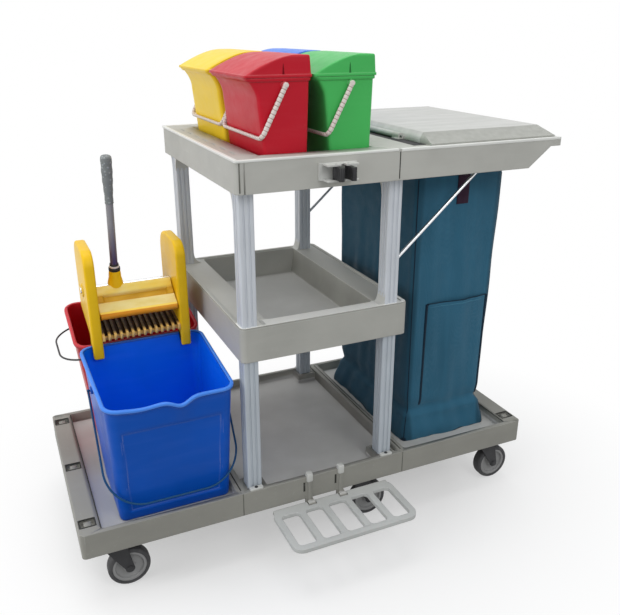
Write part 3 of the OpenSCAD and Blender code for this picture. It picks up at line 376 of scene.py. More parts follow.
class Finish:
    """A node material under construction. Patterns read Object coordinates, in metres."""

    def __init__(self, name, rough, metal=0.0, gloss=0.5, rounding=0.002):
        self.material = bpy.data.materials.new(name)
        self.material.use_nodes = True
        self.tree = self.material.node_tree
        self.tree.nodes.clear()
        self.shader = self.add("BsdfPrincipled", {"Roughness": rough, "Metallic": metal,
                                                  "Specular IOR Level": gloss})
        self.out = self.add("OutputMaterial", {"Surface": self.shader.outputs["BSDF"]})
        self.place = self.add("TexCoord").outputs["Object"]
        self.soft = self.add("Bevel", {"Radius": rounding}, samples=6).outputs["Normal"]

    def add(self, kind, values=None, **settings):
        """A node in this material."""
        return add_node(self.tree, kind, values, **settings)

    def stretched(self, stretch):
        """The place, scaled by its own factor each way."""
        return self.add("Mapping", {"Vector": self.place, "Scale": stretch}).outputs["Vector"]

    def noise(self, scale, detail, stretch=(1, 1, 1), warp=0.0):
        """Cloudy values from 0 to 1."""
        return self.add("TexNoise", {"Vector": self.stretched(stretch), "Scale": scale,
                                     "Detail": detail, "Distortion": warp}).outputs["Fac"]

    def wave(self, scale, axis):
        """Even bands across one axis, from 0 to 1."""
        return self.add("TexWave", {"Vector": self.place, "Scale": scale},
                        bands_direction=axis).outputs["Fac"]

    def dot(self, a, b):
        """The dot product of two vectors."""
        return self.add("VectorMath", {0: a, 1: b}, operation="DOT_PRODUCT").outputs["Value"]

    def along(self, axis, vector=None):
        """One coordinate of the place, or of another vector."""
        return self.add("SeparateXYZ", {0: self.place if vector is None else vector}).outputs[axis]

    def span(self, value, low, high, to_low=0.0, to_high=1.0):
        """A value carried from one range to another and held at its ends."""
        return self.add("MapRange", {"Value": value, "From Min": low, "From Max": high,
                                     "To Min": to_low, "To Max": to_high}).outputs["Result"]

    def maths(self, kind, a, b=0.0):
        """One step of arithmetic on two values."""
        return self.add("Math", {0: a, 1: b}, operation=kind).outputs[0]

    def times(self, a, b):
        """The product of two values."""
        return self.maths("MULTIPLY", a, b)

    def blend(self, share, a, b):
        """One colour, with a share of another."""
        return self.add("Mix", {0: share, 6: a, 7: b}, data_type="RGBA").outputs[2]

    def patches(self, pattern, a, b, low=0.35, high=0.65):
        """Two colours that meet softly between two values of a pattern."""
        return self.blend(self.span(pattern, low, high), a, b)

    def own_normal(self):
        """The surface's own shading normal, without the rounded edges."""
        return self.add("NewGeometry").outputs["Normal"]

    def facing_up(self):
        """1 where the surface faces upwards, falling to 0 on slopes."""
        return self.span(self.along("Z", self.own_normal()), 0.7, 0.95)

    def worn_and_lit(self, body, pale, share, full=0.16):
        """A share of a paler colour at the edges, where the rounded normal departs from the
        surface's own: partly from use, partly painted highlight along the edges."""
        edges = self.span(self.dot(self.soft, self.own_normal()), 1.0, 1.0 - full)
        return self.blend(self.times(edges, share), body, pale)

    def done(self, colour, grain, depth, strength, clouds=None, rough=None):
        """The material with its colour, its grain as height, and roughness that clouds carry
        between two values."""
        bump = self.add("Bump", {"Strength": strength, "Distance": depth, "Height": grain,
                                 "Normal": self.soft})
        give(self.tree, self.shader, {"Base Color": colour, "Normal": bump.outputs["Normal"]})
        if rough:
            give(self.tree, self.shader, {"Roughness": self.span(clouds, 0.3, 0.7, *rough)})
        return self.material


WHITE = (1.0, 1.0, 1.0)


def tint(colour, factor, towards=WHITE, share=0.0):
    """A colour made darker or lighter, and drawn towards another."""
    c = np.array(colour) * factor
    c = c + (np.array(towards) - c) * share
    return tuple(float(v) for v in np.clip(c, 0, 1))


def moulded(name, colour, rough, cloud=0.08, wear_and_highlight=0.25, gloss=0.25, scuff=0.3, rounding=0.002,
            floor=None):
    """Moulded plastic: cloudy colour, faint flow marks, fine grain, scuffs and paler edges, partly from
    use and partly painted highlight.
    Floor is the height, in metres, below which the upward faces are paler in patches: painted light on
    the tops."""
    f = Finish(name, rough, gloss=gloss, rounding=rounding)
    body = f.patches(f.noise(7.0, 4.0), tint(colour, 1 - cloud), tint(colour, 1 + cloud * 0.5))
    flow = f.span(f.noise(26.0, 3.0, (0.25, 0.25, 1.6), 0.4), 0.5, 0.8, 0.0, 0.3)
    body = f.blend(flow, body, tint(colour, 1 + cloud, WHITE, 0.03))
    if scuff:
        marks = f.span(f.noise(140.0, 2.0, (1, 0.12, 1), 0.6), 0.66, 0.78, 0.0, scuff)
        body = f.blend(marks, body, tint(colour, 1.0, WHITE, 0.18))
    # Paler edges: partly from use, partly painted highlight
    if wear_and_highlight:
        body = f.worn_and_lit(body, tint(colour, 1.1, WHITE, 0.45), wear_and_highlight)
    # Painted light: upward faces below the floor height are paler in patches, as tops catch more light
    if floor:
        low = f.span(f.along("Z"), floor, floor + 0.002, 1.0, 0.0)
        patchy = f.span(f.noise(11.0, 5.0, (1, 1, 1), 0.3), 0.25, 0.7, 0.75, 1.0)
        rubbed = f.times(f.times(f.facing_up(), low), patchy)
        body = f.blend(rubbed, body, tint(colour, 1.0, WHITE, 0.42))
    return f.done(body, f.noise(1100.0, 2.0), 0.00005, 0.5, f.noise(40.0, 4.0),
                  (rough - 0.05, rough + 0.06))


def metal(name, colour, rough, stretch=(1, 1, 0.02), shine=1.0):
    """Drawn metal: lines along the drawing direction in its colour, roughness and height."""
    f = Finish(name, rough, metal=shine, rounding=0.0008)
    lines = f.noise(600.0, 3.0, stretch)
    body = f.patches(lines, tint(colour, 0.9), tint(colour, 1.05), 0.3, 0.7)
    dull = f.span(f.noise(9.0, 3.0), 0.4, 0.7, 0.0, 0.4)
    return f.done(f.blend(dull, body, tint(colour, 0.82)), lines, 0.00004, 0.4, lines,
                  (rough - 0.05, rough + 0.1))


def painted(name, colour, rough):
    """Paint on steel: faint orange peel and greyer rubbed edges."""
    f = Finish(name, rough, gloss=0.3, rounding=0.0012)
    body = f.patches(f.noise(20.0, 4.0), tint(colour, 0.8), tint(colour, 1.25))
    body = f.worn_and_lit(body, tint(colour, 1.4, srgb(150, 150, 150), 0.35), 0.35, 0.2)
    return f.done(body, f.noise(900.0, 2.0), 0.00005, 0.5, f.noise(60.0, 3.0),
                  (rough - 0.05, rough + 0.12))


def woven(name, colour, thread=0.0011, sheen=0.12, sides=None):
    """Coated cloth: two sets of threads over and under, cloudy dye and long soft streaks. Sides
    gives the middle and half width, in metres, beyond which the side panels are darker: painted
    shade on the bag's sides."""
    f = Finish(name, 0.62, gloss=0.12)
    give(f.tree, f.shader, {"Sheen Weight": sheen, "Sheen Roughness": 0.5})
    scale = 1.0 / thread / 2
    warp = f.maths("ADD", f.wave(scale, "X"), f.wave(scale, "Y"))
    threads = f.times(warp, f.wave(scale, "Z"))
    dye = f.patches(f.noise(9.0, 5.0, (1, 1, 0.35)), tint(colour, 0.84), tint(colour, 1.12), 0.3, 0.7)
    streak = f.span(f.noise(42.0, 3.0, (1, 1, 0.06)), 0.5, 0.75, 0.0, 0.4)
    dye = f.blend(streak, dye, tint(colour, 1.25, srgb(90, 150, 170), 0.08))
    # Painted shade: beyond the half width from the middle the cloth is darker
    if sides:
        off = f.maths("ABSOLUTE", f.maths("SUBTRACT", f.along("X"), sides[0]))
        dye = f.patches(off, dye, tint(colour, 0.58), sides[1], sides[1] + 0.008)
    body = f.blend(f.span(threads, 0.0, 1.6, 0.25, 0.0), dye, tint(colour, 0.6))
    return f.done(body, threads, 0.0002, 0.6, f.noise(30.0, 3.0), (0.52, 0.72))


def rubber(name, colour, rough=0.7):
    """Rubber: dusty patches and a matt skin."""
    f = Finish(name, rough)
    dust = f.span(f.noise(34.0, 5.0, (1, 1, 1), 0.5), 0.5, 0.75, 0.0, 0.5)
    body = f.blend(dust, tint(colour, 0.9), tint(colour, 1.4, srgb(150, 145, 138), 0.12))
    return f.done(body, f.noise(700.0, 3.0), 0.0001, 0.6, f.noise(80.0, 3.0),
                  (rough - 0.08, rough + 0.1))


def dotted_rubber():
    """Grip rubber: raised paler dots, one in each cell."""
    f = Finish("grip_rubber", 0.6)
    cells = f.add("TexVoronoi", {"Vector": f.place, "Scale": 125.0}).outputs["Distance"]
    dots = f.span(cells, 0.22, 0.34, 1.0, 0.0)
    base = srgb(134, 139, 140)
    return f.done(f.blend(dots, tint(base, 0.85), tint(base, 1.5)), dots, 0.0006, 0.8)


def lid_grey():
    """Lid plastic: a pale streaked top between darker grained bands on the front and rear slopes; the
    darker bands are painted shade on the slopes.
    """
    f = Finish("lid_moulding", 0.46, gloss=0.25, rounding=0.003)
    across = f.maths("ABSOLUTE", f.maths("SUBTRACT", f.along("Y"), frame_y(MID_Y)))
    streak = f.noise(16.0, 4.0, (0.3, 2.2, 1), 0.3)
    top = f.patches(streak, srgb(194, 195, 191), srgb(206, 206, 203), 0.35, 0.7)
    # Painted shade: darker bands on the front and rear slopes
    grain = f.patches(f.noise(60.0, 3.0), srgb(164, 165, 159), srgb(174, 175, 169))
    body = f.worn_and_lit(f.patches(across, top, grain, 0.240, 0.243), srgb(224, 224, 220), 0.3)
    return f.done(body, f.noise(900.0, 2.0), 0.00006, 0.5, f.noise(40.0, 4.0), (0.40, 0.52))


def ledge_grey():
    """Ledge plastic with painted light and shade: darker inner walls, a paler top, palest along the
    front edge, and paler edges, partly from use and partly painted highlight."""
    f = Finish("ledge_moulding", 0.5, gloss=0.3)
    # Painted shade on the inner walls, painted light on the top, brightest along the front
    walls = f.patches(f.noise(7.0, 4.0), srgb(148, 148, 142), srgb(162, 162, 156))
    front = frame_y(LEDGE_FRONT)
    top = f.patches(f.along("Y"), srgb(196, 196, 190), srgb(250, 250, 246), front + 0.004,
                    front - 0.004)
    body = f.worn_and_lit(f.blend(f.facing_up(), walls, top), srgb(240, 240, 234), 0.7)
    return f.done(body, f.noise(1100.0, 2.0), 0.00005, 0.5, f.noise(40.0, 4.0), (0.44, 0.55))


def grate_painted_shade():
    """Grate plastic: yellow at the ribs' front ends, darker brown further in: painted shade where the
    press plate shadows the ribs, in patches.
    """
    f = Finish("grate_painted_shade", 0.45, gloss=0.2, rounding=0.001)
    front = frame_y(CHEEK_Y0)
    # Painted shade: darker brown further in, under the press plate's shadow
    deep = f.span(f.along("Y"), front + 0.005, front + 0.019)
    patchy = f.span(f.noise(90.0, 3.0), 0.3, 0.7, 0.85, 1.0)
    body = f.blend(f.times(deep, patchy), srgb(252, 206, 116), srgb(42, 24, 12))
    return f.done(body, f.noise(500.0, 3.0), 0.0001, 0.5, f.noise(60.0, 3.0), (0.38, 0.55))


def press_cream():
    """Press plastic by distance from the shaft down the flap, with light and shade painted in bands:
    cream ridge, a painted highlight; gold slot, painted shade in its recess; pale panel, painted
    light; a deep yellow lip, orange where it curls under, painted shade."""
    f = Finish("press_cream", 0.48, gloss=0.15)
    down = np.array([0.0, -math.cos(PRESS_DROP), -math.sin(PRESS_DROP)])
    reach = f.maths("SUBTRACT", f.dot(f.place, tuple(down)), float(frame_m(SHAFT) @ down))
    rubbed = f.span(f.noise(38.0, 4.0, (0.4, 1, 1)), 0.35, 0.7)
    colour = f.blend(rubbed, srgb(246, 214, 96), srgb(250, 232, 158))
    # Painted light and shade: each band is a lit or shaded tone of one yellow plastic
    for start, low, high in ((0.0295, srgb(196, 148, 34), srgb(218, 172, 54)),
                             (0.0505, srgb(232, 208, 120), srgb(244, 228, 164)),
                             (0.0775, srgb(250, 214, 84), srgb(252, 224, 110)),
                             (0.0835, srgb(206, 132, 26), srgb(222, 152, 44))):
        colour = f.patches(reach, colour, f.blend(rubbed, low, high), start, start + 0.0012)
    return f.done(colour, f.noise(900.0, 2.0), 0.00005, 0.5, f.noise(40.0, 4.0), (0.42, 0.56))


def lever_shaft_paint():
    """Tube paint: navy by the socket, warming to grey towards the grip, rubbed along its length."""
    f = Finish("lever_tube_paint", 0.32)
    body = f.patches(f.along("Z"), srgb(60, 42, 96), srgb(142, 141, 146), 0.69, 0.80)
    rub = f.span(f.noise(120.0, 3.0, (1, 1, 0.08)), 0.5, 0.75, 0.0, 0.5)
    return f.done(f.blend(rub, body, srgb(160, 160, 166)), f.noise(500.0, 2.0, (1, 1, 0.05)),
                  0.00004, 0.5, f.noise(60.0, 3.0), (0.26, 0.42))


# Painted light: floor= gives the height below which the upward faces are paler
frame_grey = moulded("frame_moulding", srgb(190, 190, 184), 0.5, rounding=0.003, floor=0.95)
shelf_grey = moulded("shelf_moulding", srgb(180, 180, 174), 0.5, rounding=0.003, floor=0.56)
# The base is darker than the frame: partly its own tone, partly painted shade on the low base
base_grey = moulded("base_moulding", srgb(152, 151, 144), 0.52, rounding=0.003, floor=0.185)
pale_grey = moulded("pale_moulding", srgb(206, 207, 203), 0.46, cloud=0.05)
grid_grey = moulded("grid_moulding", srgb(198, 200, 198), 0.5, rounding=0.0035)
post_metal = metal("post_extrusion", srgb(214, 219, 226), 0.5, shine=0.1)
# Painted shade: the lower posts are darker, for the shade under the shelves
post_shaded = metal("lower_post_painted_shade", srgb(190, 198, 206), 0.5, shine=0.1)
bright_wire = metal("bright_wire", srgb(225, 226, 228), 0.22, (1, 1, 1))
# Painted shade on the bag's side panels, through sides=
cloth_teal = woven("bag_cloth", srgb(54, 110, 138), sides=(0.393, 0.104))
# Painted highlight: a paler cloth for the pocket's hem, where its fold catches the light
cloth_hem_highlight = woven("bag_hem_highlight_cloth", srgb(74, 136, 164))
cloth_dark = woven("bag_binding_and_shade", srgb(22, 44, 62), 0.0014, 0.08)
strap_maroon = woven("strap_webbing", srgb(52, 28, 48), 0.0018, 0.1)
black_paint = painted("fork_paint", srgb(50, 50, 52), 0.42)
black_plastic = moulded("black_moulding", srgb(44, 44, 46), 0.45, wear_and_highlight=0.15)
# Painted shade: thin dark and grey strips stand in for the shade in gaps, joints, grooves and slots
gap_shade_dark = moulded("painted_gap_shade", srgb(54, 54, 50), 0.7, wear_and_highlight=0.0)
groove_shade_grey = moulded("painted_groove_shade", srgb(112, 113, 106), 0.7, wear_and_highlight=0.0)
# Painted highlight: a pale plastic for the rim lips, for the light along their top edges
lip_highlight_white = moulded("lip_painted_highlight", srgb(232, 233, 229), 0.46, cloud=0.04)
tread = rubber("wheel_tread", srgb(70, 70, 72))
hub_grey = moulded("wheel_hub", srgb(158, 158, 158), 0.45, wear_and_highlight=0.1)
bucket_blue = moulded("bucket_blue", srgb(3, 85, 192), 0.36, 0.07, 0.45, 0.16, 0.0, 0.003)
# Painted light: a brighter blue for the bucket's inside
lining_lit_blue = moulded("lining_lit_blue", srgb(3, 106, 240), 0.36, 0.07, 0.0, 0.16, 0.0)
# Painted highlight: paler rims, for the light the rolled rims' tops catch
rim_highlight_blue = moulded("rim_highlight_blue", srgb(74, 142, 244), 0.40, 0.07, 0.3, 0.2, 0.0)
rim_highlight_red = moulded("rim_highlight_red", srgb(212, 64, 74), 0.40, 0.07, 0.3, 0.2, 0.0)
bucket_red = moulded("bucket_red", srgb(186, 14, 26), 0.36, 0.07, 0.35, 0.16, 0.0)
teal_bail = moulded("bail_teal", srgb(10, 74, 120), 0.35, wear_and_highlight=0.0)
wringer_yellow = moulded("wringer_yellow", srgb(250, 202, 24), 0.36, 0.06, 0.2, 0.2, 0.0)
# Painted shade: a dark brown for the sheet under the grate's ribs
sieve_shade_brown = moulded("sieve_shade_brown", srgb(70, 38, 20), 0.6, wear_and_highlight=0.0)
white_plastic = moulded("white_moulding", srgb(232, 222, 216), 0.40, 0.05, 0.0)
# Painted shade: a darker warm tone seen through the bails' grooves, for the shade and reflected colour
# in them
bail_groove_shade = moulded("bail_groove_shade", srgb(184, 160, 152), 0.5, 0.05, 0.0)
PAIL_COLOURS = {"red": srgb(198, 20, 42), "green": srgb(74, 188, 96), "yellow": srgb(252, 214, 44),
                "blue": srgb(70, 130, 232)}


# Frame pieces: the CAD forms with their finishes

for finish, names in (
        (base_grey, "left_platform middle_deck right_platform"),
        (frame_grey, "top_shelf bag_frame"),
        (shelf_grey, "middle_shelf"),
        (post_metal, "upper_posts"), (post_shaded, "lower_posts"),
        (lid_grey(), "bag_lid"), (pale_grey, "clip_bracket"),
        (grid_grey, "foot_grid"),
        (black_plastic, "clip_jaw_left clip_jaw_right brake_pedal_front brake_pedal_rear"),
        (black_paint, "caster_plates post_screws"),
        (bright_wire, "front_brace rear_brace lid_hinge_pin grid_hinge_pins press_shaft"),
        (grate_painted_shade(), "wringer_grate")):
    for name in names.split():
        dressed(name, finish)

# Trim on the frame


def gusset(start, deep, face, tall, across, order):
    """Curved web between a post's side and a level face: a corner whose long side is a quarter
    ellipse hollowed towards the corner. Deep and tall are signed, away from the corner."""
    turn = np.linspace(0, math.pi / 2, 12)
    curve = np.stack([start + deep * (1 - np.cos(turn)), face + tall * (1 - np.sin(turn))], 1)
    under, behind = face - 0.6 * np.sign(tall), start - 0.6 * np.sign(deep)
    outline = np.concatenate([curve, [(start + deep, under), (behind, under), (behind, face + tall)]])
    return edged_plate(outline, across - POST_HALF + 0.6, across + POST_HALF - 0.6, 0.05, order, 2)


def post_gussets():
    """Webs in Y under the top shelf, and in X where the posts stand on the middle shelf."""
    side = POST_HALF - 0.5
    parts = [gusset(POSTS_Y[1] + side, 28.0, FRAME_BOTTOM, -36.0, x, ACROSS_X) for x in POSTS_X]
    for x, reach in zip(POSTS_X, (24.0, -11.0)):
        for y, inward in zip(POSTS_Y, (1, -1)):
            parts += [gusset(y + inward * side, inward * 34.0, FRAME_BOTTOM, -42.0, x, ACROSS_X),
                      gusset(x + np.sign(reach) * side, reach, LEDGE_TOP, 28.0, y, ACROSS_Y)]
    return parts


def shelf_ledge():
    """The middle shelf's wide rim: rounded rectangles from the outer edge over a raised bead and a
    flat ledge, then down the inner walls to the floor, each row with its own centre, closed
    underneath."""
    outer, inner = (600.0, MID_Y, 212.0, 275.0, 14.0), (600.0, 300.0, 138.0, 248.0, 12.0)
    rows = ((outer, -1.6, 610.4), (outer, -0.6, 611.4), (outer, -0.6, 616.0), (outer, -1.6, 617.2),
            (outer, -8.0, 617.2), (outer, -9.4, 616.6), (outer, -11.0, LEDGE_TOP),
            (inner, 2.4, LEDGE_TOP), (inner, 0.8, 614.1), (inner, 0.0, 612.6), (inner, -3.5, 580.0),
            (inner, -7.0, 549.5), (inner, -8.5, 547.2), (inner, -11.0, 546.3), (inner, -11.0, 544.0))
    x, y, half_x, half_y, corner = np.array([row[0] for row in rows]).T
    grow, level = np.array([row[1:] for row in rows]).T
    px, py = rounded_ring(half_x + grow, half_y + grow, corner + grow * 0.5, 6, 8)
    return rings(at_heights(px + x[:, None], py + y[:, None], level), loop=True)


screw_head = [(0.2, 4.2), (3.6, 4.2), (4.4, 5.0), (4.4, 5.6), (3.4, 6.4), (0.2, 6.6)]
trim("shelf_ledge", [shelf_ledge()], ledge_grey())
trim("post_gussets", post_gussets(), pale_grey)
trim("foot_pads", [block((x - 17, x + 17), span, (RAIL_TOP - 0.5, RAIL_TOP + 4.5), 4.0, 1.2)
                   for x in POSTS_X for span in ((1.5, 14.5), (BASE_D - 14.5, BASE_D - 1.5))],
     pale_grey)
trim("foot_pad_screws", [lathe(screw_head, (x, y, RAIL_TOP), (0, 0, 1), 20)
                         for x in POSTS_X for y in (8.0, BASE_D - 8.0)], black_paint)
trim("grid_knobs", [block((x - 8, x + 8), (-6.5, 9), (188, 211), 3.5, 2.2) for x in GRID_LUGS],
     pale_grey)
# Painted shade: dark and grey strips in the slots, round the rail pockets, along the seams and joints
trim("grid_slots", [block((x - 16, x - 11), (-0.5, 0.8), (160, 186), 0.5, 0.2) for x in GRID_LUGS],
     gap_shade_dark)
trim("rail_pocket_rims", [square_ring(x, y, 19, 16, 3.2, RAIL_TOP - 0.6, RAIL_TOP + 0.5)
                          for x in (POCKET_END, BASE_L - POCKET_END)
                          for y in (POCKET_SIDE, MID_Y, BASE_D - POCKET_SIDE)],
     gap_shade_dark)
trim("deck_seams", [block((x - 1.3, x + 1.3), (14, BASE_D - 14), (RAIL_TOP - 0.6, RAIL_TOP + 0.3),
                          0.4, 0.1)
                    for x in (RAIL_W, JOINTS_X[0] - 1, JOINTS_X[1] + 1, BASE_L - RAIL_W)],
     gap_shade_dark)
for name, places, half, faces, span, finish in (
        ("deck_joints", JOINTS_X, 1.2, (0.0, BASE_D), (139, 199.4), groove_shade_grey),
        ("corner_seams", (CORNER_SEAM_X,), 1.3, (TOP_FRONT, TOP_REAR), (922, 981), groove_shade_grey),
        ("shelf_seams", (SHELF_SEAM_X,), 1.3, (TOP_FRONT, TOP_REAR), (922, 981), gap_shade_dark)):
    trim(name, [block((x - half, x + half), (y - 0.4, y + 0.4), span, 0.3, 0.1)
                for x in places for y in faces], finish)
# Painted highlight: the lips are paler than the frame, for the light along the rims' top edges
lip_z = FRAME_TOP - 4.0, FRAME_TOP + 1.2
trim("frame_lips", [block(FRAME_LIP_X, span, (FRAME_TOP - 5.5, FRAME_TOP + 0.7), 1.5, 0.9)
                    for span in LIP_SPANS], lip_highlight_white)
trim("shelf_lips", [block(SHELF_LIP_X, span, lip_z, 3.0, 1.2) for span in LIP_SPANS]
     + [block((SHELF_LIP_X[0], 389.5), (TOP_FRONT + 4, TOP_REAR - 4), lip_z, 3.0, 1.2)],
     lip_highlight_white)
# Painted shade: a black strip along the lid's hinge edge stands in for the shadow gap under the lid
trim("lid_hinge_shadow_strip", [block((809, 841), (14, 556), (FRAME_TOP - 0.5, FRAME_TOP + 0.6), 1.0, 0.3)],
     black_plastic)

# Casters


def wheel_ring(half, x, y):
    """One side's profile and its mirror image, closed and turned round a caster's axle."""
    half = np.array(half, float)
    profile = np.concatenate([half * [1, -1], half[::-1]])
    return lathe(profile, (x + TRAIL, y, WHEEL_R), (0, 1, 0), 64, loop=True)


TYRE_SIDE = [(40, 14), (45.5, 14), (48.2, 12.6), (49.6, 9.6), (50, 6)]
HUB_SIDE = [(4.2, 15), (12.5, 15), (14, 13.5), (14.6, 6.5), (16.5, 4.6), (30, 4.6), (32.4, 6.2),
            (33, 11.4), (34.2, 12.6), (39.9, 12.6)]
for end, cx in CASTERS.items():
    for row, cy in ROWS.items():
        dressed(f"caster_fork_{row}_{end}", black_paint)
        wheel_node = f"caster_wheel_{row}_{end}"
        add_piece(f"tread_{row}_{end}", wheel_ring(TYRE_SIDE, cx, cy), tread, wheel_node)
        add_piece(f"hub_{row}_{end}", wheel_ring(HUB_SIDE, cx, cy), hub_grey, body=wheel_node)

# Mop buckets


def bucket_rings(bucket, rows, spout, panel=0.0):
    """Rings of a rounded trapezium, each set by its share of the height, how far it stands
    outside the wall, and a lift. The spout dips and bulges the front rim; the panel sinks the
    outer front face."""
    (floor_w, floor_y0, floor_y1), (front_w, front_y, front_h), (rear_w, rear_y, rear_h) = bucket
    s, grow, lift = np.array(rows, float).T[..., None]
    front = floor_y0 + (front_y - floor_y0) * s - grow
    rear = floor_y1 + (rear_y - floor_y1) * s + grow
    wide_f = floor_w + (front_w - floor_w) * s + grow
    wide_r = floor_w + (rear_w - floor_w) * s + grow
    half_x, half_y = (wide_f + wide_r) / 2, (rear - front) / 2
    corner = 16 + 12 * s + grow
    x, y = rounded_ring(half_x[:, 0], half_y[:, 0], corner[:, 0], 10, 64)
    v = (y / half_y + 1) / 2
    x = x * (wide_f + (wide_r - wide_f) * v) / half_x
    y = y + (front + rear) / 2
    z = DECK + s * (front_h + (rear_h - front_h) * v) + lift
    u = x / wide_f
    at_front = ease((0.12 - v) / 0.10)
    near_rim = ease((s - 0.74) / 0.26)
    dip = -8.0 * np.exp(-((u + 0.45) / 0.36) ** 2) - 13.0 * np.exp(-((u - 0.13) / 0.16) ** 2)
    bulge = 7.0 * np.exp(-((u - 0.13) / 0.20) ** 2)
    z = z + spout * dip * at_front * near_rim
    y = y - spout * bulge * at_front * near_rim
    inside = ease((0.83 - np.abs(u)) / 0.03) * ease((s - 0.06) / 0.016) * ease((0.80 - s) / 0.03)
    y = y + panel * inside * at_front * (grow > -1)
    return np.stack([x + BUCKET_X, y, z], -1)


# Rings of the rolled rim: share of the height, how far outside the wall, lift
LIP = [(1, 0.2, -11), (1, 2.6, -10.4), (1, 4.4, -9), (1, 5.0, -6.5), (1, 5.0, -3.2),
       (1, 4.3, -1.0), (1, 2.8, 0.0), (1, -1.4, 0.0), (1, -3.0, -1.0), (1, -3.9, -3.2)]
INNER_WALL = [(s, 4 * (1 - s)) for s in np.linspace(0.95, 0.03, 36)]


def bucket_body(bucket, spout=0.0, panel=0.0):
    """From the floor up the outer wall, over the rolled rim and down the inner wall."""
    rise = np.concatenate([np.linspace(0.012, 0.10, 14), np.linspace(0.11, 0.94, 56)])
    outer = [(0, -14, 0.0), (0, -5, 0.0), (0, -1.6, 1.4), (0, -0.2, 4.0)]
    outer += [(s, 0, 4 * (1 - s)) for s in rise]
    inner = [(s, -4, lift) for s, lift in INNER_WALL]
    floor = [(0, -5.5, 6.0), (0, -9, 4.4), (0, -16, 4.0)]
    return rings(bucket_rings(bucket, outer + LIP + inner + floor, spout, panel))


def bucket_rim(bucket, spout=0.0):
    """A paler band over the rolled rim, painted highlight where the rim's top catches the light: the
    rim's own rings, standing 0.3 mm off it.
    """
    band = [(s, grow + 0.3, lift + 0.3) for s, grow, lift in LIP[3:9]]
    back = [(1, -2.0, -1.5), (1, 3.6, -4.5)]
    return rings(bucket_rings(bucket, band + back, spout), loop=True)


def bucket_lining(bucket, spout=0.0):
    """The inside of a bucket in a brighter blue, painted light: rings 0.3 mm off the inner wall and
    floor, from the rim down, closed by rings hidden just behind the inner wall."""
    wall = [(1, -4.0)] + INNER_WALL
    shown = [(s, -4.3, lift) for s, lift in wall] + [(0, -5.8, 6.3), (0, -9, 4.7), (0, -16, 4.3)]
    hidden = [(0, -16, 3.6), (0, -9, 3.8), (0, -5.2, 5.6)]
    hidden += [(s, -3.8, lift) for s, lift in wall[::-1]]
    return rings(bucket_rings(bucket, hidden + shown, spout))


def mirrored_ears(low, high, pivot, axis):
    """The two bosses of a bucket: the profile runs outwards on both sides."""
    profile = [(9, low), (9, high - 1.5), (8.4, high - 0.4), (7.2, high), (3.2, high),
               (3.2, high - 4)]
    return [lathe(profile, (BUCKET_X, *pivot), side * np.array(axis), 32) for side in (-1, 1)]


def bail_path(half, reach, bend, steps=14):
    """A bail in its own plane: down one arm, round a bend, across, round and up again."""
    turn = np.linspace(0, math.pi / 2, steps)
    arm = np.linspace(0, reach - bend, 40)[:-1]
    right = np.stack([np.full_like(arm, half), arm], 1)
    curve = np.stack([half - bend + bend * np.cos(turn), reach - bend + bend * np.sin(turn)], 1)
    bar = np.linspace(half - bend, 0, 30)[1:]
    across = np.stack([bar, np.full_like(bar, reach)], 1)
    one = np.concatenate([right, curve, across])
    return np.concatenate([one, (one * [-1, 1])[::-1][1:]])


def hung_bail(path, pivot, along, down, radius, step=3.0, flat=1.0, eyes=True):
    """A bail hung from its pivots: the first coordinate runs along the pivot line and the second
    hangs down, with a flattened eye and a pin at each end. The radius is a number, or a function
    of the length along the bail."""
    along, down, pivot = unit(along), unit(down), np.asarray(pivot)
    length = np.concatenate([[0], np.cumsum(np.linalg.norm(np.diff(path, axis=0), axis=1))])
    even = np.linspace(0, length[-1], int(length[-1] / step))
    path = np.stack([np.interp(even, length, path[:, i]) for i in range(2)], 1)
    points = pivot + path[:, :1] * along + path[:, 1:] * down
    radius = radius(even) if callable(radius) else np.full_like(even, radius)
    parts = [tube(points, radius, np.cross(along, down), 14, flat)]
    thick = radius[0]
    eye = thick * np.array([(1.1, -1.05), (1.4, -0.6), (1.4, 0.6), (1.1, 1.05)])
    eye = np.concatenate([[(1.0, -1.1 * thick)], eye, [(1.0, 1.1 * thick)]])
    pin = [(thick * 0.8, -7), (thick * 0.8, 0)]
    for side in (-1, 1) if eyes else ():
        centre = pivot + side * abs(path[0, 0]) * along
        parts += [lathe(eye, centre, along, 24), lathe(pin, centre, side * along, 16)]
    return joined(*parts)


def hanging(angle, axis):
    """The direction of a bail that leans from straight down by an angle, against an axis."""
    return -math.sin(angle) * np.array(axis) - math.cos(angle) * np.array([0, 0, 1])


X_WAY, Y_WAY = (1, 0, 0), (0, 1, 0)
add_piece("blue_bucket_rim", bucket_rim(BLUE_BUCKET, 1.0), rim_highlight_blue, body="blue_bucket")
add_piece("red_bucket_rim", bucket_rim(RED_BUCKET), rim_highlight_red, body="red_bucket")
add_piece("blue_bucket_lining", bucket_lining(BLUE_BUCKET, 1.0), lining_lit_blue, body="blue_bucket")
add_piece("blue_bucket_body", joined(bucket_body(BLUE_BUCKET, 1.0, 3.2),
                                     *mirrored_ears(143, 152, BLUE_PIVOT, X_WAY)),
          bucket_blue, "blue_bucket")
add_piece("red_bucket_body", joined(bucket_body(RED_BUCKET),
                                    *mirrored_ears(100.5, 112.5, RED_PIVOT, Y_WAY)),
          bucket_red, "red_bucket")
add_piece("blue_bucket_bail", hung_bail(bail_path(156, 276, 90, 24), (BUCKET_X, *BLUE_PIVOT), X_WAY,
                                        hanging(HANG_BLUE, Y_WAY), 2.5), teal_bail, "blue_bail")
add_piece("red_bucket_bail", hung_bail(bail_path(117, 194, 80, 24), (BUCKET_X, *RED_PIVOT), Y_WAY,
                                       hanging(HANG_RED, X_WAY), 2.3), black_paint, "red_bail")

# Wringer


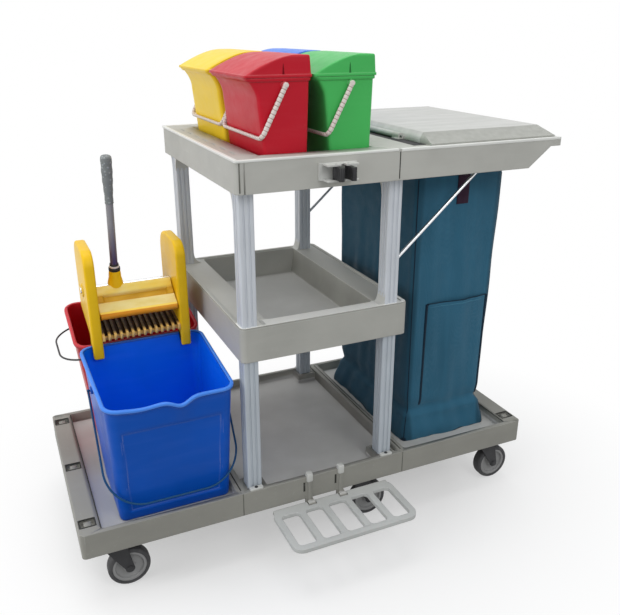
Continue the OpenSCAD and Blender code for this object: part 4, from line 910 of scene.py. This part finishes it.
def wringer_body():
    """Two cheeks, the wall behind them and a boss round each end of the shaft. A cheek is its side
    view given thickness: round top, toe inside the bucket, step over the rim."""
    toe, tread_z = RIM_Z - STEP_TALL, RIM_Z + 0.4
    side = filleted([(CHEEK_Y0, toe), (STEP_Y, toe), (STEP_Y, tread_z), (HEEL_Y, tread_z),
                     (HEEL_Y, RIM_Z + STEP_TALL), (CHEEK_Y1, RIM_Z + HEEL_RISE),
                     (CHEEK_Y1, CHEEK_TOP), (CHEEK_Y0, CHEEK_TOP)],
                    [4, 4, 1.5, 4, 4, 10, 46, 38], 10)
    parts = [edged_plate(side, low, high, 5, ACROSS_X, 5) for low, high in CHEEK_X]
    (y0, y1), (z0, z1) = (CHEEK_Y1 - 8, CHEEK_Y1 - 2), (RIM_Z + 63, RIM_Z + 101)
    wall = filleted([(y0, z0), (y1, z0), (y1, z1), (y0, z1)], 2.0, 4)
    parts.append(edged_plate(wall, 130, 324, 0.5, ACROSS_X, 2))
    boss = [(17, -1), (17, 1.6), (15.5, 2.6), (10.5, 2.6), (9.6, 1.6), (9.6, -1)]
    for face, out in ((CHEEK_X[0][0], -1), (CHEEK_X[1][1], 1)):
        parts.append(lathe(boss, (face, SHAFT[1], SHAFT[2]), (out, 0, 0), 40))
    return joined(*parts)


def grate_sieve():
    """Sieve sheet under the grate's ribs: a thin slope that follows their undersides. Its dark brown
    stands in for the shade under the ribs.
    """
    slope = [(308, 520.7), (389, 535.4), (389, 537.9), (308, 523.2)]
    return edged_plate(slope, PRESS_X[0] + 0.5, PRESS_X[1] - 0.5, 0.3, ACROSS_X, 2)


def press_flap():
    """The flap's side view carried along the shaft: hub, ridge, slot floor, panel and a rolled
    front lip, back along the underside. Between its ends the slot is sunk below the panel."""
    turn = np.radians(np.linspace(112, 320, 22))
    hub = np.stack([13 * np.cos(turn), 13 * np.sin(turn)], 1)[::-1]
    top = [(-9, 12.4), (-16, 10.6), (-22, 9.4), (-26, 8.6), (-28.5, 7.0), (-29.3, 5.0), (-30, 4.2),
           (-33, 4), (-40, 4), (-47, 4), (-50, 4.2), (-50.8, 5.2), (-52, 6.2), (-56, 6.4),
           (-64, 5.8), (-72, 5.2), (-80, 5.4)]
    curl = np.radians(np.linspace(60, 300, 18))
    lip = np.stack([-88 + 7 * np.cos(curl), 7 * np.sin(curl)], 1)
    under = [(-80, -4.4), (-60, -4), (-30, -4), (-14, -5.5)]
    py, pz = np.concatenate([top, lip, under, hub]).T
    ends = np.array([0, 0.4, 1.4, 3, 8, 14, 17, 18.4, 24])
    x = np.concatenate([PRESS_X[0] + ends, np.linspace(PRESS_X[0] + 30, PRESS_X[1] - 30, 30),
                        PRESS_X[1] - ends[::-1]])[:, None]
    edge = np.minimum(x - PRESS_X[0], PRESS_X[1] - x)
    slot = (py < -29.5) & (py > -50.5) & (pz > 0)
    z = np.where(slot & (edge < 16), 7.0, pz - 5.0 * ease((edge - 16) / 2.4) * slot)
    shrink = 1 - 0.10 * ease((1.4 - edge) / 1.4)
    y, z = py * shrink, z * shrink
    c, s = math.cos(PRESS_DROP), math.sin(PRESS_DROP)
    return rings(np.stack([np.broadcast_to(x, y.shape), SHAFT[1] + y * c - z * s,
                           SHAFT[2] + y * s + z * c], -1))


def lever_part(profile, sides=40):
    """A profile of radius and height above the shaft, turned round the lever's line."""
    return lathe(profile, LEVER_FOOT, LEVER_UP, sides)


def grip_rows():
    """A tapering grip with shallow waves for the fingers and rings at both ends."""
    h = np.linspace(0, 1, 60)
    radius = 9.6 + 3.0 * ease(h / 0.75) + 0.35 * np.sin(h * 9 * math.pi)
    start = [(9.05, 221), (10.2, 220.6), (10.4, 221.5)]
    top = [(12.4, 330), (11.8, 332.4), (10.2, 334.2), (7.5, 335), (3, 335)]
    return np.concatenate([start, np.stack([radius, 222 + h * 106], 1), top])


socket_part = lever_part([(19, -6), (19.5, 2), (18.5, 12), (16.5, 20), (15.2, 26), (15.0, 32),
                          (14.4, 38), (13.6, 43), (13.4, 45), (9.2, 45), (9.2, 30)])
lower_collar = lever_part([(9.1, 44), (13.8, 44.2), (14.2, 46), (14.0, 51.4), (12.6, 52.4),
                           (9.1, 52.4)])
upper_collar = lever_part([(9.1, 57.5), (10.8, 57.6), (10.9, 62), (9.1, 62.4)])
ring_part = lever_part([(9.1, 52.5), (11.6, 52.6), (12.4, 53.4), (12.4, 56.6), (11.6, 57.4),
                        (9.1, 57.5)])
add_piece("wringer_cheeks", wringer_body(), wringer_yellow, "wringer_frame")
add_piece("grate_sieve", grate_sieve(), sieve_shade_brown, body=BODY_OF["wringer_grate"])
add_piece("press_flap", press_flap(), press_cream(), "press_plate")
add_piece("lever_socket", socket_part, wringer_yellow, body="press")
add_piece("lever_collar", joined(lower_collar, upper_collar), black_plastic, body="press")
add_piece("lever_ring", ring_part, white_plastic, "lever_ferrule")
add_piece("lever_shaft", lever_part([(8.9, 30), (8.9, 232)]), lever_shaft_paint(), "lever_tube")
add_piece("lever_handgrip", lever_part(grip_rows(), 48), dotted_rubber(), "lever_grip")

# Small pails


def pail_left(height):
    """Flared left wall: a straight lean from the foot, then a curve out to the rim."""
    bend = PAIL_H - PAIL_FLARE
    t = np.clip((height - bend) / PAIL_FLARE, 0, 1)
    return np.where(height < bend, 44 - 16 * height / bend, 4 + 24 * (1 - t ** 2))


def pail_rings(x, y, left, right, half_y, corner, z):
    """Rounded rectangles between a left and a right place, one at each height."""
    px, py = rounded_ring((right - left) / 2, half_y, corner, 5, 12)
    return rings(at_heights(px + ((left + right) / 2)[:, None] + x, py + y, z))


def pail_body(x, y):
    """Rings of rounded rectangles up the outer wall, round the lip and down the inner wall, and
    the bail's two bosses."""
    up = np.concatenate([np.linspace(3.5, PAIL_H - PAIL_FLARE, 14),
                         np.linspace(PAIL_H - 46, PAIL_H - 8, 12)])
    outer = [(0, -6), (0, -2), (1.2, -0.6)] + [(h, 0) for h in up]
    lip = [(PAIL_H - 7.4, 0.2), (PAIL_H - 7, 3.0), (PAIL_H - 6, 3.8), (PAIL_H - 1.2, 3.8),
           (PAIL_H - 0.3, 3.0), (PAIL_H - 0.2, -2.0), (PAIL_H - 1.5, -2.5)]
    inner = [(h, -2.5) for h in up[::-1] if h > 6] + [(3.2, -4.5), (2.6, -9)]
    h, grow = np.array(outer + lip + inner, float).T
    left = pail_left(np.clip(h, 0, PAIL_H)) - grow
    right = PAIL_W - 4 - 6 * (1 - h / PAIL_H) + grow
    half_y = PAIL_D / 2 - 4
    boss = [(7, -5), (7, 4.2), (6.2, 5.0), (2.7, 5.0), (2.7, 2)]
    return joined(pail_rings(x, y, left, right, half_y + grow, np.maximum(8 + grow, 3), h + PAIL_FLOOR),
                  *(lathe(boss, (x + PAIL_PIVOT[0], y + side * half_y, PAIL_PIVOT[1]), (0, side, 0), 28)
                    for side in (-1, 1)))


def pail_cover(x, y):
    """Rings stacked upwards: a flange, then the left side runs in along a curve that flattens
    towards the ridge, and a rounded top edge."""
    top, ridge, round_edge = 43.0, 104, 4
    turn = np.linspace(0, math.pi / 2, 6)[1:]
    h = np.concatenate([[0, 0.8, 4.6, 5.4, 6.0], np.linspace(7.5, top - round_edge, 16),
                        top - round_edge + round_edge * np.sin(turn)])
    inset = np.concatenate([[-0.4, -0.8, -0.8, -0.4, 1.0], np.full(16, 1.2),
                            1.2 + round_edge * (1 - np.cos(turn))])
    share = np.clip((h - 5) / (top - 5), 0, 1)
    left = ridge * (1 - (1 - share) ** (1 / 1.55)) * (h > 5.5) + inset
    left = np.minimum(left, ridge + inset - 1.2)
    right = PAIL_W - 3 * share - inset
    return pail_rings(x, y, left, right, PAIL_D / 2 - inset, np.maximum(6 - inset, 2.5), h + PAIL_RIM)


def pail_creases(x, y):
    """The dark notch on each end of a lid: a thin wedge that narrows upwards."""
    wedge = filleted([(80, 6), (85, 6), (83.6, 20), (82.8, 27), (82, 27), (81, 20)], 0.4, 3)
    parts = []
    for side in (-1, 1):
        low, high = sorted((side * (PAIL_D / 2 - 3), side * (PAIL_D / 2 - 0.9)))
        points, faces = edged_plate(wedge, low, high, 0.3, ACROSS_Y, 2)
        parts.append((points + [x, y, PAIL_RIM], faces))
    return joined(*parts)


def ribbed(length):
    """Bail radius with moulded ribs: a rod with a shallow groove every 9 mm."""
    return 4.0 - 0.35 * np.exp(-((np.mod(length, 9.0) - 4.5) / 1.7) ** 2)


# Painted shade: the darker core shows through the grooves as stripes
CORE_RADIUS, BAIL_FLAT = 3.74, 1.35
for colour, (px, py) in PAILS.items():
    pail, lid, bail = f"{colour}_pail", f"{colour}_pail_lid", f"{colour}_pail_bail"
    finish = moulded("pail_" + colour, PAIL_COLOURS[colour], 0.38, 0.05, 0.35, 0.22, 0.0)
    shade = moulded(f"pail_{colour}_shade", tint(PAIL_COLOURS[colour], 0.35), 0.5, 0.05, 0.0, 0.1, 0.0)
    add_piece(pail + "_body", pail_body(px, py), finish, pail)
    add_piece(pail + "_cover", pail_cover(px, py), finish, lid)
    add_piece(pail + "_creases", pail_creases(px, py), shade, body=BODY_OF[lid])
    hung = (bail_path(125.1, 118, 16), (px + PAIL_PIVOT[0], py, PAIL_PIVOT[1]), Y_WAY,
            hanging(HANG_PAIL, X_WAY))
    add_piece(pail + "_handle", hung_bail(*hung, ribbed, 1.0, BAIL_FLAT), white_plastic, bail)
    add_piece(pail + "_handle_core", hung_bail(*hung, CORE_RADIUS, 2.0, BAIL_FLAT, eyes=False),
              bail_groove_shade, body=BODY_OF[bail])

# Bag


def bag_grow(z):
    """How far the bag stands outside its mouth size: flared hem, waist, then straight up."""
    return eased(z, [BAG_FLOOR, 238, 260, 300, 420, 640, 820, 1000],
                 [9, -3, -13, -8.5, -7, -5, -1.0, -1.0])


def bag_fold(x, y, z):
    """Folds in the cloth: long upright waves that bend as they fall, finer creases over them,
    none at the mouth, and a few slanted creases near the hem."""
    fall = ease((900 - z) / 260)
    low = ease((330 - z) / 90)
    p = x + 0.83 * y
    wave = 3.0 * np.sin(p / 19.0 + 0.9 * np.sin(z / 130.0)) * np.sin(p / 61.0 + 1.1)
    crease = 1.1 * np.sin(p / 7.3 + z / 75.0) * (0.4 + 0.6 * np.sin(z / 110.0 + p / 90.0) ** 2)
    slump = 1.6 * np.sin((z + 0.35 * p) / 15.0) * low
    return (wave + crease) * fall + slump


def bag_ring(z, out=0.0):
    """Rings of the bag at given heights: rounded rectangle, moved along its normal by the
    folds."""
    grow = bag_grow(z) + out
    x, y = rounded_ring(BAG_HALF[0] + grow, BAG_HALF[1] + grow, BAG_CORNER, BAG_ARC, BAG_SIDE)
    zz = np.broadcast_to(z[:, None], x.shape)
    tx, ty = np.roll(x, -1, 1) - np.roll(x, 1, 1), np.roll(y, -1, 1) - np.roll(y, 1, 1)
    size = np.hypot(tx, ty)
    fold = bag_fold(x, y, zz)
    return np.stack([BAG_MID[0] + x + ty / size * fold, BAG_MID[1] + y - tx / size * fold, zz], -1)


def bag_shell():
    """The bag's walls from its closed foot to its mouth, turned out over the frame."""
    walls = bag_ring(np.concatenate([np.linspace(BAG_FLOOR, 330, 40), np.linspace(336, 905, 70),
                                     [935, 960, 985]]))
    x, y = rounded_ring(BAG_HALF[0] + 7.5, BAG_HALF[1] + 7.5, BAG_CORNER, BAG_ARC, BAG_SIDE)
    flange = at_heights(x + BAG_MID[0], y + BAG_MID[1], FRAME_TOP + 1.6)
    return rings(np.concatenate([walls, walls[-1:] + [0, 0, 2.6], flange]), caps=(True, False))


def bag_band(low, high, out):
    """A band of binding sewn round the bag, standing a little outside the cloth."""
    z = np.linspace(low, high, 6)
    return rings(np.concatenate([bag_ring(z, out), bag_ring(z[::-1], -0.6)]), loop=True)


def bag_piping():
    """Piping down the four upright corners: a thin tube along the middle of each corner's arc."""
    ring = bag_ring(np.linspace(BAG_FLOOR + 2, BAG_BINDING[0], 90), 0.8)
    per_side = BAG_ARC + BAG_SIDE
    planes = (0.8, 0.6, 0), (0.6, -0.8, 0)
    return [tube(ring[:, k * per_side + BAG_ARC // 2], 1.7, planes[k % 2], 8) for k in range(4)]


def bag_pocket(x0, x1, z0, z1, lift):
    """A patch pocket on the front panel: it follows the cloth behind it, stands off it more
    towards its open top, and turns in at its sewn sides and foot."""
    x, z = np.meshgrid(np.linspace(x0, x1, 60), np.linspace(z0, z1, 80), indexing="ij")
    front = BAG_MID[1] - BAG_HALF[1] - bag_grow(z)
    behind = front - bag_fold(x - BAG_MID[0], front - BAG_MID[1], z)
    u, v = (x - x0) / (x1 - x0), (z - z0) / (z1 - z0)
    sewn = ease(np.minimum(np.minimum(u, 1 - u) / 0.035, v / 0.03))
    stand = 0.4 + sewn * (1.6 + lift * v ** 2 * np.sin(math.pi * u) ** 0.7)
    ripple = 0.8 * np.sin(u * 9.0 + v * 5.0) * np.sin(math.pi * u) * sewn
    points = np.stack([x, behind - stand - ripple, z], -1)
    return points.reshape(-1, 3), grid_quads(*x.shape)


def strap(face, side):
    """A short webbing strap under the frame, front or rear: a flat band with a soft wave."""
    z = np.linspace(*STRAP_Z, 24)
    (x0, x1), thick = STRAP_X, 2.4
    out = 2.0 + 1.2 * np.sin((z - STRAP_Z[0]) / 84 * math.pi)
    x, y = filleted([(x0, 0), (x1, 0), (x1, thick), (x0, thick)], 0.8, 4).T
    y = face + side * (y - 1.0 + out[:, None] * 0.5 + 0.6)
    return rings(at_heights(np.broadcast_to(x, y.shape), y, z))


bag = add_piece("bag_shell", bag_shell(), cloth_teal, "bag", sharp=70)
thickened(bag, 0.0018, -1.0)
# The top binding is dark partly as its own webbing, partly as painted shade under the frame
bag_trim = [trim(name, [bag_band(*band)], cloth_dark, 60)
            for name, band in (("bag_top_binding_and_shade", (*BAG_BINDING, 0.7)),
                               ("bag_hem", (BAG_FLOOR, BAG_FLOOR + 9, 1.4)))]
bag_trim.append(trim("bag_piping", bag_piping(), cloth_dark))
pocket = trim("bag_pocket", [bag_pocket(*POCKET_X, *POCKET_Z, 9.0)], cloth_teal, 70)
thickened(pocket, 0.0016, 0.0)
# Painted shade: dark cloth strips along the pocket's top and sides stand in for the shadow lines round
# it
pocket_shade_lines = [bag_pocket(917, 1105, 558, 567.5, 10.0), bag_pocket(915, 920.5, *POCKET_Z, 1.0),
                bag_pocket(1101.5, 1107, *POCKET_Z, 1.0)]
pocket_trim = [trim("bag_pocket_shade_lines", pocket_shade_lines, cloth_dark, 70),
               trim("bag_pocket_hem", [bag_pocket(920, 1102, 546, 558, 10.0)], cloth_hem_highlight,
                    70)]
for piece in pocket_trim:
    thickened(piece, 0.0022, 0.0)
bag_trim.append(add_piece("bag_strap_bands", joined(*(strap(BAG_MID[1] + side * BAG_HALF[1], side)
                                                      for side in (-1, 1))), strap_maroon,
                          "bag_straps"))

# Stage, light and camera

FILL = 0.60
FLOOR_HALF, FLOOR_Z = 12.0, -0.0006
# Each lamp's name, place, the point it is aimed at, width and power
LAMPS = (("top", (-0.6, 0.7, 6.0), (0.0, 0.0, 0.5), 4.4, 112.0),
         ("left", (-3.4, -0.3, 1.6), (0.0, 0.0, 0.6), 2.0, 32.0),
         ("front", (0.4, -2.6, 2.6), (0.1, 0.0, 0.8), 1.4, 17.0))
CAMERA_PLACE, CAMERA_WAY = (-0.66036, -1.547, 1.22573), (0.38461, 0.84732, -0.36623)


def seen_directly(tree):
    """1 for rays from the camera, a reflection or glass, 0 for rays that carry light."""
    path = add_node(tree, "LightPath").outputs
    seen = path["Is Camera Ray"]
    for ray in ("Is Glossy Ray", "Is Transmission Ray"):
        seen = add_node(tree, "Math", {0: seen, 1: path[ray]}, operation="MAXIMUM").outputs[0]
    return seen


def surround():
    """The world: a soft fill for light, and white where it is seen."""
    world = bpy.data.worlds.new("studio")
    bpy.context.scene.world = world
    world.use_nodes = True
    tree = world.node_tree
    tree.nodes.clear()
    fill = add_node(tree, "Background", {"Color": (0.98, 0.99, 1.0), "Strength": FILL})
    white = add_node(tree, "Background", {"Color": WHITE})
    mix = add_node(tree, "MixShader", {0: seen_directly(tree), 1: fill.outputs[0],
                                       2: white.outputs[0]})
    add_node(tree, "OutputWorld", {"Surface": mix.outputs[0]})


def studio_floor():
    """A wide floor: near the cart it is pale and takes a faint shadow, and away from it, where it is
    seen, it runs into the white surround. The light that it throws back is that of a grey floor."""
    mesh = bpy.data.meshes.new("floor")
    corners = ((-1, -1), (1, -1), (1, 1), (-1, 1))
    mesh.from_pydata([(x * FLOOR_HALF, y * FLOOR_HALF, FLOOR_Z) for x, y in corners], [],
                     [(0, 1, 2, 3)])
    f = Finish("floor_white", 0.8, gloss=0.0)
    seen = seen_directly(f.tree)
    pale = f.patches(f.noise(3.0, 2.0), (0.96, 0.96, 0.96), (0.98, 0.98, 0.98), 0.3, 0.7)
    away = f.add("VectorMath", {0: f.stretched((1.0, 1.3, 0.0))}, operation="LENGTH").outputs["Value"]
    far = f.times(f.span(away, 0.45, 1.2, 0.4, 1.0), seen)
    white = f.add("Emission", {"Color": WHITE, "Strength": 1.0})
    mix = f.add("MixShader", {0: far, 1: f.shader.outputs["BSDF"], 2: white.outputs[0]})
    give(f.tree, f.shader, {"Base Color": f.blend(seen, (0.40, 0.40, 0.39), pale)})
    give(f.tree, f.out, {"Surface": mix.outputs[0]})
    mesh.materials.append(f.material)
    in_scene("floor", mesh)


def aimed(name, data, place, way):
    """A lamp or a camera at a place, looking along a way."""
    thing = in_scene(name, data)
    thing.location = place
    thing.rotation_mode = "QUATERNION"
    thing.rotation_quaternion = Vector(way).to_track_quat("-Z", "Y")
    return thing


def studio():
    """A large lamp overhead, a smaller one on the left and a weak one in front."""
    surround()
    studio_floor()
    for name, place, aim, size, power in LAMPS:
        lamp = bpy.data.lights.new(name, "AREA")
        lamp.shape, lamp.size, lamp.energy = "DISK", size, power
        aimed(name, lamp, place, np.array(aim) - np.array(place))


def photo_camera():
    """The camera fitted to the photograph's edges."""
    cam = bpy.data.cameras.new("camera")
    cam.lens, cam.sensor_width = 41.02, 36.0
    cam.clip_start, cam.clip_end = 0.05, 60.0
    bpy.context.scene.camera = aimed("camera", cam, CAMERA_PLACE, CAMERA_WAY)


studio()
photo_camera()
bpy.context.scene.view_settings.view_transform = "Standard"
